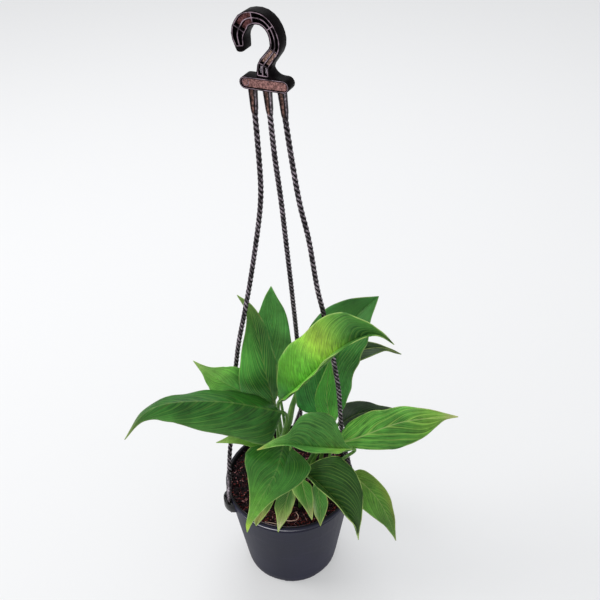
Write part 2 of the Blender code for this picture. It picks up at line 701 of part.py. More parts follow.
def strap_sizes(way_from_top, way_from_bottom):
    """Width and thickness of a strap, from the distances to its ends in millimetres."""
    cord = 2 * STRAP_CORD_RADIUS
    if way_from_top < STRAP_ROOT_LENGTH:
        blend = 1 - way_from_top / STRAP_ROOT_LENGTH
        return cord + (STRAP_ROOT_WIDTH - cord) * blend, cord + STRAP_ROOT_EXTRA * blend
    if way_from_bottom < STRAP_FORK_LENGTH:
        blend = (1 - way_from_bottom / STRAP_FORK_LENGTH) ** STRAP_FORK_SWELL
        return cord + (TONGUE_WIDTH - cord) * blend, cord + (TONGUE_THICKNESS - cord) * blend
    return cord, cord


def strap_mesh(name, key, place):
    """A cord that widens to a root at the bar, and to a tongue and head at the ear."""
    along_bar, _ = bar_frame()
    root = Vector(BAR_CENTRE) + along_bar * place * STRAP_PITCH
    root.z += place * STRAP_PITCH * math.tan(math.radians(BAR_TILT_DEG))
    root.z -= BAR_HEIGHT / 2 + STRAP_GAP
    azimuth = EAR_AZIMUTHS_DEG[key]
    ear = Vector(polar(EAR_SLOT_RADIUS, azimuth, EAR_TOP + 2.0))
    first = Vector(STRAP_ROUTES[key][0])
    route = [root, root + (first - root).normalized() * STRAP_ROOT_DROP] + STRAP_ROUTES[key]
    path = spline(route + [ear], STRAP_STATIONS)
    across_ear = Vector((-math.sin(math.radians(azimuth)), math.cos(math.radians(azimuth)), 0))
    if across_ear.dot(along_bar) < 0:
        across_ear = -across_ear
    travelled = [0.0]
    for a, b in zip(path, path[1:]):
        travelled.append(travelled[-1] + (b - a).length)
    heads = tangents(path)
    sections = []
    for point, way, head in zip(path, travelled, heads):
        blend = way / travelled[-1]
        across = along_bar.lerp(across_ear, blend)
        width, thick = strap_sizes(way, travelled[-1] - way)
        sections.append((point, head, across, width, thick))
    down = Vector((0, 0, -1))
    low = Vector(polar(EAR_SLOT_RADIUS, azimuth, EAR_BOTTOM - 0.5))
    head_low = low + down * HEAD_HEIGHT
    sections.append((ear + down * 4.0, down, across_ear, TONGUE_WIDTH, TONGUE_THICKNESS))
    sections.append((low, down, across_ear, TONGUE_WIDTH, TONGUE_THICKNESS))
    sections.append((low + down * 0.05, down, across_ear, HEAD_WIDTH, TONGUE_THICKNESS + 0.6))
    sections.append((head_low, down, across_ear, HEAD_WIDTH - 3.0, TONGUE_THICKNESS))
    return loft_sections(name, sections)


def loft_sections(name, sections, sides=8):
    """Skin rounded-rectangle sections, each a point, direction, width and thickness."""
    bm = bmesh.new()
    rings = []
    reach = 0.5 / math.cos(math.pi / sides)
    for point, head, across, width, thick in sections:
        side = (across - head * across.dot(head)).normalized()
        up = head.cross(side)
        ring = []
        for k in range(sides):
            angle = math.tau * (k + 0.5) / sides
            x = math.cos(angle) * width * reach
            y = math.sin(angle) * thick * reach
            ring.append(bm.verts.new((point + side * x + up * y) * 0.001))
        rings.append(ring)
    for near, far in zip(rings, rings[1:]):
        for k in range(sides):
            n = (k + 1) % sides
            bm.faces.new((near[k], near[n], far[n], far[k]))
    bm.faces.new(rings[0])
    bm.faces.new(rings[-1])
    return mesh_from(bm, name)


def main():
    clear_scene()
    rng = random.Random(SEED)
    parts = add_collection("peace_lily_in_hanging_basket")
    cutters = add_collection("cutters")
    materials = {name: make_material(name) for name in COLOURS}
    build_pot(parts, cutters, materials["pot_plastic"])
    build_soil(parts, cutters, materials["soil"], rng)
    for name, leaf in LEAVES.items():
        add_object(name, leaf_mesh(name, leaf, rng), parts, materials["leaf_green"])
    build_hook(parts, cutters, materials["hanger_plastic"])
    for key, place in (("left", -1), ("back", 0), ("right", 1)):
        name = "strap_" + key
        add_object(name, strap_mesh(name, key, place), parts, materials["hanger_plastic"])


main()
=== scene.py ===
"""Looks of a peace lily in a hanging nursery pot: leaves, soil, pot, hanger, floor and light.

Lengths in the tables are millimetres in the part's own frame; mm() turns them into metres.
Colours in the tables are 0 to 255, as a paint chart gives them; paint() makes them linear.
"""
import bmesh
import bpy
import math
import random
from mathutils import Matrix, Vector


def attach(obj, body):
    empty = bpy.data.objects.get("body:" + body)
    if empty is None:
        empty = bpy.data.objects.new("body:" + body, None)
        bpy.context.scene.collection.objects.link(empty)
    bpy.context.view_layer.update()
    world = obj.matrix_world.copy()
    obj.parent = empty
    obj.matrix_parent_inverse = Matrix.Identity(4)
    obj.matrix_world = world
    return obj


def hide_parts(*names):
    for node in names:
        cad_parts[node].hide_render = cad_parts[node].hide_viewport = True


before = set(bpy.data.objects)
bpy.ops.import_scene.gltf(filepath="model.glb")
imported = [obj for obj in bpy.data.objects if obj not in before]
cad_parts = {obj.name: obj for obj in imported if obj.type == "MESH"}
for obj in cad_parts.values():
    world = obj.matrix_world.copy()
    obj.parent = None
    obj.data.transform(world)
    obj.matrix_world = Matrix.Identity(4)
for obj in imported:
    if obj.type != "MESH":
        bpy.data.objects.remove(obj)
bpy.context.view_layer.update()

SEED = 23

# Pot and soil
SOIL_TOP = 120.0
POT_INSIDE_RADIUS = 69.4
# Faces past EARS_FROM and over EARS_ABOVE are the ears; the inside reaches out to INSIDE_TO
EARS_FROM = 74.3
EARS_ABOVE = 118.5
INSIDE_TO = 73.2
FLOOR_TOP = 5.0
# Lines of painted highlight on the lip: radius, height, thickness, colour where the highlight is
# brightest
LIP_HIGHLIGHT_LINES = ((73.75, 127.6, 0.42, (240, 236, 246)), (71.0, 131.0, 0.28, (150, 134, 146)))
LIP_DULL = (60, 60, 74)
LIP_START_DEG = 222.0
LIP_STEP_DEG = 1.3
LIP_STEPS = 73
LIP_HIGHLIGHT_DEG = 252.0
# The soil is banked up against the wall: where that starts, where it ends, how high
BANK_INNER = 38.0
BANK_OUTER = 69.2
BANK_HEIGHT = 5.2
CHIP_BATCHES = 32
CHIPS_IN_BATCH = 200
CHIP_UNEVEN = 0.22
# Chip colours, darkest first; in front of CHIPS_REDDER_FROM the darkest are left out
CHIPS_REDDER_FROM = -38.0
CHIP_TINTS = [(8, 4, 7), (10, 5, 8), (11, 5, 9), (12, 6, 9), (12, 6, 11), (14, 6, 10), (16, 7, 11),
              (20, 8, 14), (22, 9, 14), (26, 10, 14), (30, 12, 18), (40, 15, 19), (52, 21, 30),
              (88, 30, 31), (124, 50, 45), (156, 104, 106)]
DARKEST_CHIPS = 6

# Hanger
HANGER_BLACK = (16, 12, 14)
BAR_CENTRE = Vector((-6.5, 0.0, 607.5))
BAR_TURN_DEG = -26.0
BAR_TILT_DEG = 2.5
BAR_LENGTH = 43.8
BAR_HEIGHT = 10.4
BAR_RECESS = 1.2
BAR_THICKNESS = 11.5
HOOK_THICKNESS = 11.3
HOOK_FLANGE = 1.4
# The hook's centre line from its tip to the bar: along the bar, up, half width
HOOK_SPINE = [
    (-19.0, 25.3, 3.6), (-19.9, 30.1, 4.6), (-20.9, 35.2, 5.5), (-20.4, 39.6, 6.0),
    (-17.9, 44.4, 6.2), (-14.3, 49.1, 5.8), (-7.4, 51.6, 5.2), (-0.3, 51.3, 4.7),
    (5.3, 47.9, 4.4), (9.1, 42.6, 4.3), (11.0, 35.8, 4.5), (10.3, 29.2, 4.4),
    (5.6, 22.6, 4.7), (1.1, 16.7, 5.1), (-0.3, 11.5, 5.4), (-0.4, 2.0, 5.8),
]
# Places of the cross ribs, as parts of the way along that line
HOOK_RIBS = (0.03, 0.18, 0.34, 0.51, 0.70, 0.86, 0.95)
HOOK_STEPS = 120
# Heights over the bar's middle where the colour of the recessed faces changes
BAR_FACE_TO = 6.0
WINDOW_TO = 15.0
NECK_TO = 33.0
CROWN_FROM = 42.0
# The round mark on the bar's face: its place along the bar and its radius
MARK_PLACE = -17.0
MARK_RADIUS = 2.9
# Pale beads of rubbed edge and painted highlight: on the bar's edge, round the mark, on the hook's
# ribs
BAR_BEAD = 0.26
MARK_BEAD = 0.24
RIB_BEAD = 0.36
# Pale beads of rubbed edge and painted highlight along the hook: place across it, radius
HOOK_BEADS = ((-1.08, 0.34), (0.0, 0.42), (1.08, 0.34))
STRAP_PITCH = 13.2
STRAP_GAP = 0.7
ROOT_DROP = 14.0
EAR_SLOT_RADIUS = 75.7
EAR_TOP = 129.4
EAR_BOTTOM = 119.0
# Straps: place under the bar, where round the pot the ear stands, points on the way down
STRAPS = {
    "left": (-1, 204.0, [
        (-16, 4, 526), (-17, 4, 495), (-22, 5, 459), (-31, 6, 407), (-39, 6, 367),
        (-48, 7, 323), (-56, 5, 266), (-62, -9, 210), (-65, -19, 184)]),
    "back": (0, 84.0, [
        (-3, 5, 541), (1, 11, 493), (4, 18, 445), (8, 27, 380), (12, 40, 305), (15, 57, 220),
        (14, 69, 168)]),
    "right": (1, 333.0, [
        (8, -8, 573), (13, -10, 533), (18, -12, 500), (25, -14, 466), (32, -17, 416),
        (38, -19, 386), (47, -23, 335), (53, -26, 292), (56, -30, 247), (60, -33, 215),
        (65, -35, 189)]),
}
STRAP_STEPS = 420
ROPE_RADIUS = 2.6
ROPE_STRAND_RADIUS = 1.42
ROPE_INNER = 1.75
ROPE_PITCH = 15.6
# Crests pale with scuffs and painted highlight from this share of a strand's height on, and how
# fast that grows
CREST_FROM = 0.76
CREST_GAIN = 4.4
# How square the flat parts' sections are: 1 is an ellipse
CHANNEL_ROUND = 0.55
ROOT_LENGTH = 24.0
ROOT_WIDTH = 7.6
ROOT_GROOVE = 1.3
FORK_LENGTH = 34.0
FORK_SWELL = 0.6
FORK_GROOVE = 0.9
TONGUE_WIDTH = 9.0
TONGUE_THICKNESS = 3.0
HEAD_WIDTH = 19.0
HEAD_HEIGHT = 4.0

# Leaf blades: the same forms as the part's leaves. spots: colours laid over the base, each at
# a part of the way to the tip, across (-1 left, 1 right), with its reach in both, or only its
# way and reach where it spans the blade. period: millimetres from one side vein to the next.
# sweep: how far the veins lean. margin: how much the pale margin shows.
BLADE_STATIONS = (0.05, 0.12, 0.22, 0.34, 0.46, 0.58, 0.70, 0.81, 0.91)
SMALL_LEAF = dict(fold=8, face=[(0, -0.8, 0.6)], period=5, sweep=(1.7, 1.2), margin=1.0)
LEAVES = {
    "left": dict(
        foot=(-20, -6),
        rib=[(-5, -28, 265), (-59, -50, 303), (-110, -62, 315), (-137, -66, 304),
             (-159, -68, 272)],
        left=(34, 36, 34, 32, 29, 22, 15, 6, 2), right=(15, 26, 25, 22, 18, 13, 10, 6, 3.5),
        fold=-30, face=[(0, -0.35, 1)],
        base=(43, 95, 32), vein=0.2, margin=0.2, period=15, sweep=(0.8, 1.3), rib_gain=0.14,
        spots=[(0.45, -1.0, 0.5, 0.3, (82, 136, 59), 0.65), (0.97, 0.1, (119, 140, 64), 0.8),
               (0.0, 0.15, (36, 74, 23), 0.6)]),
    "left_back": dict(
        foot=(-27, 12),
        rib=[(-28, 12, 236), (-51, 1, 269), (-72, -10, 298), (-83, -14, 314), (-91, -16, 327)],
        left=(5, 12, 15, 17, 17, 16, 11, 5, 2), right=(5, 12, 17, 23, 23, 21, 16, 7, 3),
        fold=5, face=[(0.15, -1, 0.45)],
        base=(77, 157, 68), vein=0.4, period=9, sweep=(2.2, 2.0), rib_gain=0.35,
        spots=[(0.75, 0.25, (147, 217, 94), 0.8), (1.0, 0.15, (187, 219, 124), 0.9)]),
    "tall_back": dict(
        foot=(-2, 26), rib=[(-8, 26, 231), (-13, 34, 281), (-14, 39, 332), (-13, 42, 374)],
        left=(4, 9, 14, 17, 19, 19, 17, 12, 7), right=(3, 8, 13, 18, 20, 19, 17, 13, 6),
        fold=8, face=[(0.1, -1, 0.35)],
        base=(84, 154, 78), vein=0.6, period=11, sweep=(3.2, 2.6), rib_gain=0.12,
        spots=[(0.9, 0.25, (109, 195, 93), 0.7), (0.45, 0.5, 0.2, 0.5, (117, 175, 93), 0.5)]),
    "tall_left": dict(
        foot=(-12, 8),
        rib=[(-13, -3, 248), (-20, -6, 296), (-26, 8, 328), (-34, 16, 359), (-46, 22, 379)],
        left=(11, 22, 30, 29, 24, 19, 11, 5, 1.5), right=(2, 6, 9, 12, 14, 13, 12, 10, 6),
        fold=12, face=[(-0.2, -1, 0.35)],
        base=(56, 126, 47), vein=0.7, period=12, sweep=(3.0, 2.2), rib_gain=0.3,
        spots=[(0.52, -0.8, 0.3, 0.6, (84, 160, 62), 0.85),
               (0.45, 0.6, 0.35, 0.7, (36, 80, 30), 0.8),
               (1.0, 0.15, (150, 189, 91), 0.9), (0.0, 0.18, (34, 77, 31), 0.8)]),
    "arched": dict(
        foot=(-2, -6), stalk=(3.4, 2.9, 1.7),
        rib=[(-7, -16, 269), (14, -40, 314), (36, -59, 359), (53, -71, 390), (72, -79, 410),
             (84, -81, 411), (97, -82, 401)],
        left=(7, 16, 26, 33, 35, 32, 32, 27, 5), right=(4, 10, 16, 20, 22, 20, 20, 16, 3),
        fold=46, face=[(-0.92, -0.18, 0.34), (-0.92, -0.21, 0.34), (-0.9, -0.26, 0.35),
                       (-0.8, -0.19, 0.56), (0.62, -0.38, 0.69)],
        base=(110, 188, 61), vein=0.4, period=7, sweep=(0.7, 1.0), rib_gain=1.0, margin=0.65,
        spots=[(0.64, -0.5, 0.12, 0.9, (184, 214, 68), 0.8), (0.84, 0.17, (44, 98, 41), 0.95),
               (0.08, 0.14, (60, 135, 61), 0.8), (1.0, 0.06, (100, 106, 64), 0.9)]),
    "right_tall": dict(
        foot=(24, 6),
        rib=[(58, 2, 225), (52, 6, 277), (58, 12, 323), (74, 20, 352), (95, 28, 369)],
        left=(39, 46, 45, 42, 39, 38, 33, 24, 11), right=(3, 9, 16, 22, 24, 28, 28, 20, 10),
        fold=18, face=[(-0.5, -0.9, 0.45)],
        base=(65, 136, 58), vein=0.4, period=12, sweep=(2.4, 1.8), rib_gain=0.15,
        spots=[(0.25, 0.7, 0.22, 0.6, (91, 174, 86), 0.7), (0.9, 0.2, 0.38, 2, (42, 88, 34), 0.75),
               (0.48, 0.8, 0.2, 0.6, (50, 96, 42), 0.6),
               (0.1, -0.7, 0.2, 0.5, (62, 159, 71), 0.7)]),
    "right_far": dict(
        foot=(-6, 17), stalk=(3.5, 3.9, 1.5),
        via=[(-7, 17, 172), (1, 19, 201), (6, 24, 224), (18, 34, 245)],
        rib=[(48, 44, 249), (71, 43, 279), (101, 43, 287), (125, 43, 277)],
        left=(6, 10, 12, 13, 13, 9, 5, 2, 1.5), right=(2, 6, 11, 13, 13, 12, 8, 3, 2),
        fold=8, face=[(0.1, -0.3, 1)],
        # Its dark base colour is painted shade: the leaf lies in shadow behind the others.
        base=(24, 52, 17), vein=0.15, period=9, sweep=(1.5, 1.4), rib_gain=0.5,
        spots=[(0.95, 0.15, (77, 90, 44), 0.8)]),
    "centre": dict(
        foot=(16, -2), rib=[(47, -8, 219), (42, -9, 262), (43, -7, 291), (45, -4, 316)],
        left=(3, 7, 10, 13, 13, 11, 8, 5, 2), right=(3, 7, 11, 12, 12, 11, 8, 5, 3),
        fold=8, face=[(0, -1, 0.4)],
        base=(72, 166, 55), vein=1.0, period=11, sweep=(4.2, 2.6), rib_gain=0.45,
        spots=[(0.2, 0.6, 0.2, 0.5, (106, 204, 72), 0.6)]),
    "right_back": dict(
        foot=(36, 20), rib=[(58, 22, 192), (83, 24, 207), (124, 24, 211)],
        left=(6, 13, 19, 17, 14, 11, 7, 5, 2.5), right=(6, 13, 19, 17, 14, 11, 7, 5, 2),
        fold=5, face=[(0, -0.2, 1)],
        # Its very dark base colour is painted shade: the leaf lies in shadow behind the others.
        base=(14, 36, 11), vein=0.1, period=8, sweep=(1.2, 1.4), rib_gain=0.1, margin=0.15,
        spots=[]),
    "right": dict(
        foot=(47, -9),
        rib=[(54, -44, 233), (79, -47, 248), (99, -48, 260), (119, -47, 267), (144, -46, 270),
             (173, -44, 269)],
        left=(12, 18, 20, 21, 17, 16, 12, 8, 4), right=(6, 10, 15, 21, 24, 23, 19, 10, 2),
        fold=-8, face=[(0, -0.6, 0.8)],
        base=(80, 144, 54), vein=1.15, period=25, sweep=(2.4, 1.4), rib_gain=0.6, margin=0.55,
        spots=[(0.25, -0.6, 0.25, 0.6, (108, 180, 68), 0.6), (0.98, 0.1, (210, 199, 136), 0.9),
               (0.8, 0.15, (136, 188, 66), 0.6)]),
    "front": dict(
        foot=(-7, -24),
        rib=[(3, -44, 228), (-7, -72, 220), (-27, -87, 194), (-40, -89, 167), (-45, -89, 148)],
        left=(17, 27, 24, 17, 10, 6, 4, 2.5, 1.5), right=(26, 40, 42, 39, 27, 15, 8, 5, 3),
        fold=-4, face=[(0.05, -0.75, 0.75)],
        base=(57, 117, 42), vein=0.27, period=9, sweep=(1.6, 1.0), rib_gain=0.12,
        margin=0.55, rib_aside=8,
        spots=[(0.04, 0.14, (43, 89, 30), 0.8), (0.72, 0.2, (114, 182, 59), 0.8),
               (0.95, 0.12, (182, 217, 71), 0.9)]),
    "front_top": dict(
        foot=(35, -20),
        rib=[(65, -58, 240), (33, -62, 248), (13, -64, 254), (-7, -66, 258), (-30, -68, 253)],
        left=(3, 11, 23, 24, 24, 20, 7, 4, 2), right=(4, 16, 32, 35, 34, 28, 10, 6, 3),
        fold=40, face=[(0.2, -0.07, 0.98), (0.25, -0.08, 0.97), (0.26, -0.08, 0.96),
                       (-0.07, -0.09, 0.99), (-0.24, -0.12, 0.96)],
        base=(73, 131, 57), vein=0.3, period=10, sweep=(0.9, 1.3), rib_gain=0.1,
        # The pale yellow-green patch near the base is a painted patch of light.
        spots=[(0.12, -0.7, 0.17, 0.7, (150, 205, 82), 0.85), (0.9, 0.15, (125, 179, 83), 0.8),
               (1.0, 0.07, (211, 196, 105), 0.9)]),
    "front_right": dict(
        foot=(19, -26),
        rib=[(15, -50, 198), (31, -65, 196), (48, -78, 185), (61, -86, 171), (69, -89, 155),
             (73, -90, 132)],
        left=(13, 25, 36, 36, 32, 23, 12, 5, 2), right=(6, 12, 18, 18, 16, 11, 6, 3, 1.5),
        fold=44, face=[(0.09, 0.05, 0.99), (0.36, -0.16, 0.92), (0.56, -0.31, 0.77),
                       (0.74, -0.59, 0.33), (0.67, -0.73, 0.14)],
        base=(42, 80, 27), vein=0.4, period=9, sweep=(1.0, 1.4), rib_gain=1.0, margin=0.8,
        spots=[(1.0, 0.1, (111, 98, 71), 0.8)]),
    "right_front": dict(
        foot=(50, 6), rib=[(69, -19, 156), (94, -37, 140), (110, -49, 113), (120, -54, 78)],
        left=(10, 13, 14, 14, 13, 10, 7, 4, 2), right=(4, 9, 18, 21, 18, 13, 8, 5, 2),
        fold=5, face=[(0.25, -0.65, 0.75)],
        base=(80, 132, 44), vein=0.6, margin=0.5, period=8, sweep=(1.5, 1.4), rib_gain=0.4,
        spots=[(0.55, -0.9, 0.4, 0.4, (119, 129, 51), 0.7), (1.0, 0.1, (89, 89, 53), 0.8),
               (0.0, 0.18, (93, 119, 42), 0.7)]),
    "under_left": dict(
        foot=(-28, -12), rib=[(-14, -22, 213), (-44, -33, 232), (-74, -42, 236)],
        left=(9, 12, 9, 5, 1.5), right=(7, 9, 8, 6, 2),
        fold=5, face=[(0, -0.6, 0.8)],
        base=(112, 168, 66), vein=0.2, period=6, sweep=(1.4, 1.2), rib_gain=0.2,
        spots=[(1.0, 0.25, (164, 186, 104), 0.8)]),
    "small_front": dict(
        SMALL_LEAF, foot=(2, -37), rib=[(1, -48, 168), (-6, -58, 147), (-13, -76, 129)],
        left=(5, 9, 9, 6, 1.5), right=(8, 11, 11, 6, 2),
        base=(50, 98, 34), vein=0.7, rib_gain=0.35,
        spots=[(0.45, -1.0, 0.5, 0.35, (168, 196, 116), 0.75), (0.75, 0.25, (161, 183, 97), 0.7),
               (1.0, 0.2, (246, 236, 190), 0.95)]),
    "small_middle": dict(
        SMALL_LEAF, foot=(11, -37), rib=[(13, -44, 178), (18, -58, 163), (24, -69, 140)],
        left=(4, 9, 8, 5, 2), right=(9, 12, 8, 4, 1.5),
        base=(80, 146, 54), vein=0.7, rib_gain=0.5, margin=0.9,
        spots=[(0.5, 1.0, 0.5, 0.3, (164, 200, 110), 0.75), (0.9, 0.2, (197, 193, 130), 0.8)]),
    "small_right": dict(
        SMALL_LEAF, foot=(28, -38), rib=[(30, -44, 172), (33, -58, 154), (33, -72, 133)],
        left=(3, 8, 9, 6, 2), right=(4, 9, 9, 7, 2),
        fold=10, base=(82, 148, 64), vein=1.0, rib_gain=0.4,
        spots=[(0.6, 1.0, 0.4, 0.35, (226, 240, 184), 0.95), (1.0, 0.2, (152, 179, 103), 0.7)]),
    "small_left": dict(
        SMALL_LEAF, foot=(-10, -36), rib=[(-20, -44, 160), (-27, -56, 147), (-37, -68, 130)],
        left=(2, 7, 6, 4, 1.5), right=(2, 6, 7, 6, 4),
        base=(91, 140, 56), vein=0.5, rib_gain=0.6,
        spots=[(0.8, 0.25, (190, 186, 108), 0.8)]),
}
BLADE_THICKNESS = 0.7
# Rows and columns of the blade's grid
LARGE_GRID = (76, 28)
SMALL_GRID = (40, 16)
# The grid's rows crowd to both ends, its columns to the midrib
ROW_CROWDING = 0.35
COLUMN_CROWDING = 1.45
# Stalk radii at the soil, half way up and at the collar
LARGE_STALK = (2.7, 1.9, 1.5)
SMALL_STALK = (1.7, 1.2, 1.0)
RIB_GROOVE = 0.45
RIB_GROOVE_REACH = 0.9
HALF_ARCH = 0.035
MARGIN_WAVE = 0.8
MARGIN_WAVE_TURN = 0.17
USUAL_MARGIN = 0.33
# Under the blade the stalk goes on as a rib, to this part of the way
RIB_END = 0.94
RIB_STEPS = 24

# Patchy finishes: roughness, shine, paint, the patches' noises, their ranges and paints, grain
STREAKS = (260.0, 3.0, 0.55, (1.0, 1.0, 0.06))
CRUMBS = (420.0, 5.0, 0.7)
PATCHY = {
    "stalk_green": (0.45, 0.5, (62, 112, 42), [
        (STREAKS, 0.35, 0.7, (110, 154, 62)), ((18.0,), 0.45, 0.7, (84, 126, 48))],
        (STREAKS, 0.0003, 0.5)),
    "soil_bed": (0.95, 0.1, (9, 5, 8), [
        (CRUMBS, 0.42, 0.7, (54, 22, 27)), ((110.0,), 0.5, 0.72, (24, 11, 14))],
        (CRUMBS, 0.0015, 0.9)),
    "ear_black": (0.3, 0.25, (20, 18, 21), [], ((260.0,), 0.0006, 0.6)),
    # The pot's inside and lip top, painted near black as shade
    "pot_inside_shade": (0.6, 0.2, (14, 12, 17), [], ((500.0, 2.0), 0.0003, 0.4)),
    # Pale beads on the hanger's edges: rubbed plastic and painted highlight
    "worn_and_highlight_mauve": (0.5, 0.2, (74, 62, 70), [((160.0,), 0.36, 0.6, (176, 152, 166))], None),
}

# Studio
FLOOR_GREY = (186, 186, 187)
FLOOR_GLOW = 0.36
AIR_COLOUR = (0.96, 0.98, 1.0, 1.0)
AIR_STRENGTH = 0.66
# Lights, in metres and watts: place, width, power, colour
LIGHTS = {
    "window_left": ((-1.9, 0.1, 1.8), 1.2, 22.5, (1.0, 0.99, 0.97)),
    "top_soft": ((0.0, 1.0, 2.0), 1.4, 16.5, (0.97, 0.98, 1.0)),
}
LIGHTS_AIM = (0, 0, 0.2)
CAMERA_PLACE = (0.016, -0.605, 0.861)
CAMERA_DOWN_DEG = 38.0
CAMERA_ROLL_DEG = -1.2
CAMERA_LENS = 48.0

# The pale root that lies curled on the soil
CURLED_ROOT = [(6.5, -46, 123.4), (9, -52, 124.6), (7.5, -58, 125.9), (1, -60, 126.4),
               (-4, -59.5, 126.3), (-9, -61.5, 126.9), (-13, -64.5, 127.4), (-21, -62.5, 127.3),
               (-28, -61, 127.2)]


def mm(*values):
    """Millimetres to metres: one number, or a vector of several."""
    if len(values) == 1:
        return values[0] * 0.001
    return Vector([v * 0.001 for v in values])


def paint(colour):
    """A chart colour, 0 to 255, as linear light."""
    linear = []
    for value in colour:
        c = value / 255.0
        linear.append(c / 12.92 if c <= 0.04045 else ((c + 0.055) / 1.055) ** 2.4)
    return Vector(linear)


def limited(value):
    """The value, kept from 0 to 1."""
    return min(1.0, max(0.0, value))


def spline(points, count):
    """A smooth curve through the points, read at even steps along its chords."""
    pts = [Vector(p) for p in points]
    pts = [2 * pts[0] - pts[1]] + pts + [2 * pts[-1] - pts[-2]]
    chords = [(pts[i + 2] - pts[i + 1]).length for i in range(len(pts) - 3)]
    total = sum(chords)
    result = []
    for k in range(count):
        way = total * k / (count - 1)
        i = 0
        while i < len(chords) - 1 and way > chords[i]:
            way -= chords[i]
            i += 1
        t = way / chords[i]
        a, b, c, d = pts[i:i + 4]
        result.append(0.5 * (2 * b + (c - a) * t + (2 * a - 5 * b + 4 * c - d) * t * t
                             + (3 * b - a - 3 * c + d) * t ** 3))
    return result


def at(curve, t):
    """A point of a finely read curve, or of a list of directions, at a part of its way."""
    if len(curve) == 1:
        return curve[0]
    place = limited(t) * (len(curve) - 1)
    low = min(int(place), len(curve) - 2)
    return curve[low].lerp(curve[low + 1], place - low)


def heading(curve, t, reach=0.02):
    return (at(curve, t + reach) - at(curve, t - reach)).normalized()


def eased(places, values, t):
    """Smooth curve through the values that never overshoots them."""
    i = 0
    while i < len(places) - 2 and t > places[i + 1]:
        i += 1
    slopes = [(values[k + 1] - values[k]) / (places[k + 1] - places[k])
              for k in range(len(places) - 1)]

    def lean(k):
        if k == 0 or k == len(places) - 1:
            return slopes[min(k, len(slopes) - 1)]
        a, b = slopes[k - 1], slopes[k]
        return 0.0 if a * b <= 0 else 2 * a * b / (a + b)

    span = places[i + 1] - places[i]
    s = (t - places[i]) / span
    return (values[i] * (1 + 2 * s) * (1 - s) ** 2 + lean(i) * span * s * (1 - s) ** 2
            + values[i + 1] * s * s * (3 - 2 * s) + lean(i + 1) * span * s * s * (s - 1))


def direction(path, k):
    """The way a path runs at one of its points."""
    return path[min(k + 1, len(path) - 1)] - path[max(k - 1, 0)]


def polar(radius, azimuth_deg, height):
    angle = math.radians(azimuth_deg)
    return Vector((radius * math.cos(angle), radius * math.sin(angle), height))


def put_in_scene(name, data):
    thing = bpy.data.objects.new(name, data)
    bpy.context.scene.collection.objects.link(thing)
    return thing


def finish_piece(name, bm, materials, node, smooth_deg=60.0):
    """A bmesh becomes a shown piece that rides on the part and stands for a node."""
    mesh = bpy.data.meshes.new(name)
    bm.to_mesh(mesh)
    bm.free()
    mesh.shade_smooth()
    mesh.set_sharp_from_angle(angle=math.radians(smooth_deg))
    for material in materials:
        mesh.materials.append(material)
    piece = put_in_scene(name, mesh)
    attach(piece, "root")
    if node:
        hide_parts(node)
    return piece


def finish_detail(name, bm, material):
    """Fine work that stands for no node: its faces are turned outwards first."""
    bmesh.ops.recalc_face_normals(bm, faces=bm.faces)
    finish_piece(name, bm, [material], None)


class Finish:
    """A material under construction, with short calls for its nodes."""

    def __init__(self, name, roughness, specular=0.5):
        self.material = bpy.data.materials.new(name)
        self.material.use_nodes = True
        self.tree = self.material.node_tree
        self.shader = self.tree.nodes["Principled BSDF"]
        self.shader.inputs["Roughness"].default_value = roughness
        self.shader.inputs["Specular IOR Level"].default_value = specular

    def put(self, socket, value):
        """Link an output to the socket, or set it to a chart colour, a vector or a number."""
        if isinstance(value, bpy.types.NodeSocket):
            self.tree.links.new(value, socket)
        elif isinstance(value, tuple) and socket.type == "RGBA":
            socket.default_value = (*paint(value), 1.0)
        else:
            socket.default_value = value

    def node(self, kind, *values, **settings):
        """A new node: its settings, then its first inputs from the values; gives its outputs."""
        node = self.tree.nodes.new("ShaderNode" + kind)
        for key, setting in settings.items():
            setattr(node, key, setting)
        for socket, value in zip(node.inputs, values):
            self.put(socket, value)
        return node.outputs

    def math(self, operation, *values):
        return self.node("Math", *values, operation=operation)[0]

    def times(self, first, second):
        return self.math("MULTIPLY", first, second)

    def scaled(self, value, share, rest):
        """The value times share, plus rest."""
        return self.math("MULTIPLY_ADD", value, share, rest)

    def ramp(self, value, low, high):
        """0 at low, 1 at high, smooth between them; low may be above high."""
        ends = (low, high, 0.0, 1.0) if low < high else (high, low, 1.0, 0.0)
        return self.node("MapRange", value, *ends, interpolation_type="SMOOTHSTEP")[0]

    def mix(self, share, first, second, blend="MIX"):
        node = self.tree.nodes.new("ShaderNodeMix")
        node.data_type = "RGBA"
        node.blend_type = blend
        for k, value in ((0, share), (6, first), (7, second)):
            self.put(node.inputs[k], value)
        return node.outputs[2]

    def grey(self, value):
        return self.node("CombineColor", value, value, value)[0]

    def noise(self, scale, detail=3.0, rough=0.55, stretch=None, where=None):
        """Noise on the piece's own coordinates, in features to the metre."""
        if where is None:
            where = self.node("TexCoord")["Object"]
        if stretch:
            where = self.node("Mapping", where, (0, 0, 0), (0, 0, 0), stretch)[0]
        return self.node("TexNoise", where, 0.0, scale, detail, rough)[0]

    def attribute(self, name, output="Color"):
        return self.node("Attribute", attribute_name=name)[output]

    def uv(self, name):
        return self.node("SeparateXYZ", self.node("UVMap", uv_map=name)[0])[:2]

    def colour(self, value):
        self.put(self.shader.inputs["Base Color"], value)

    def tinted(self, shade):
        """The piece's own tint, made lighter and darker by a grey."""
        self.colour(self.mix(1.0, self.attribute("tint"), self.grey(shade), "MULTIPLY"))

    def rough(self, value):
        self.put(self.shader.inputs["Roughness"], value)

    def bump(self, height, distance, strength=1.0):
        node = self.tree.nodes.new("ShaderNodeBump")
        for name, value in (("Distance", distance), ("Strength", strength), ("Height", height)):
            self.put(node.inputs[name], value)
        self.put(self.shader.inputs["Normal"], node.outputs[0])


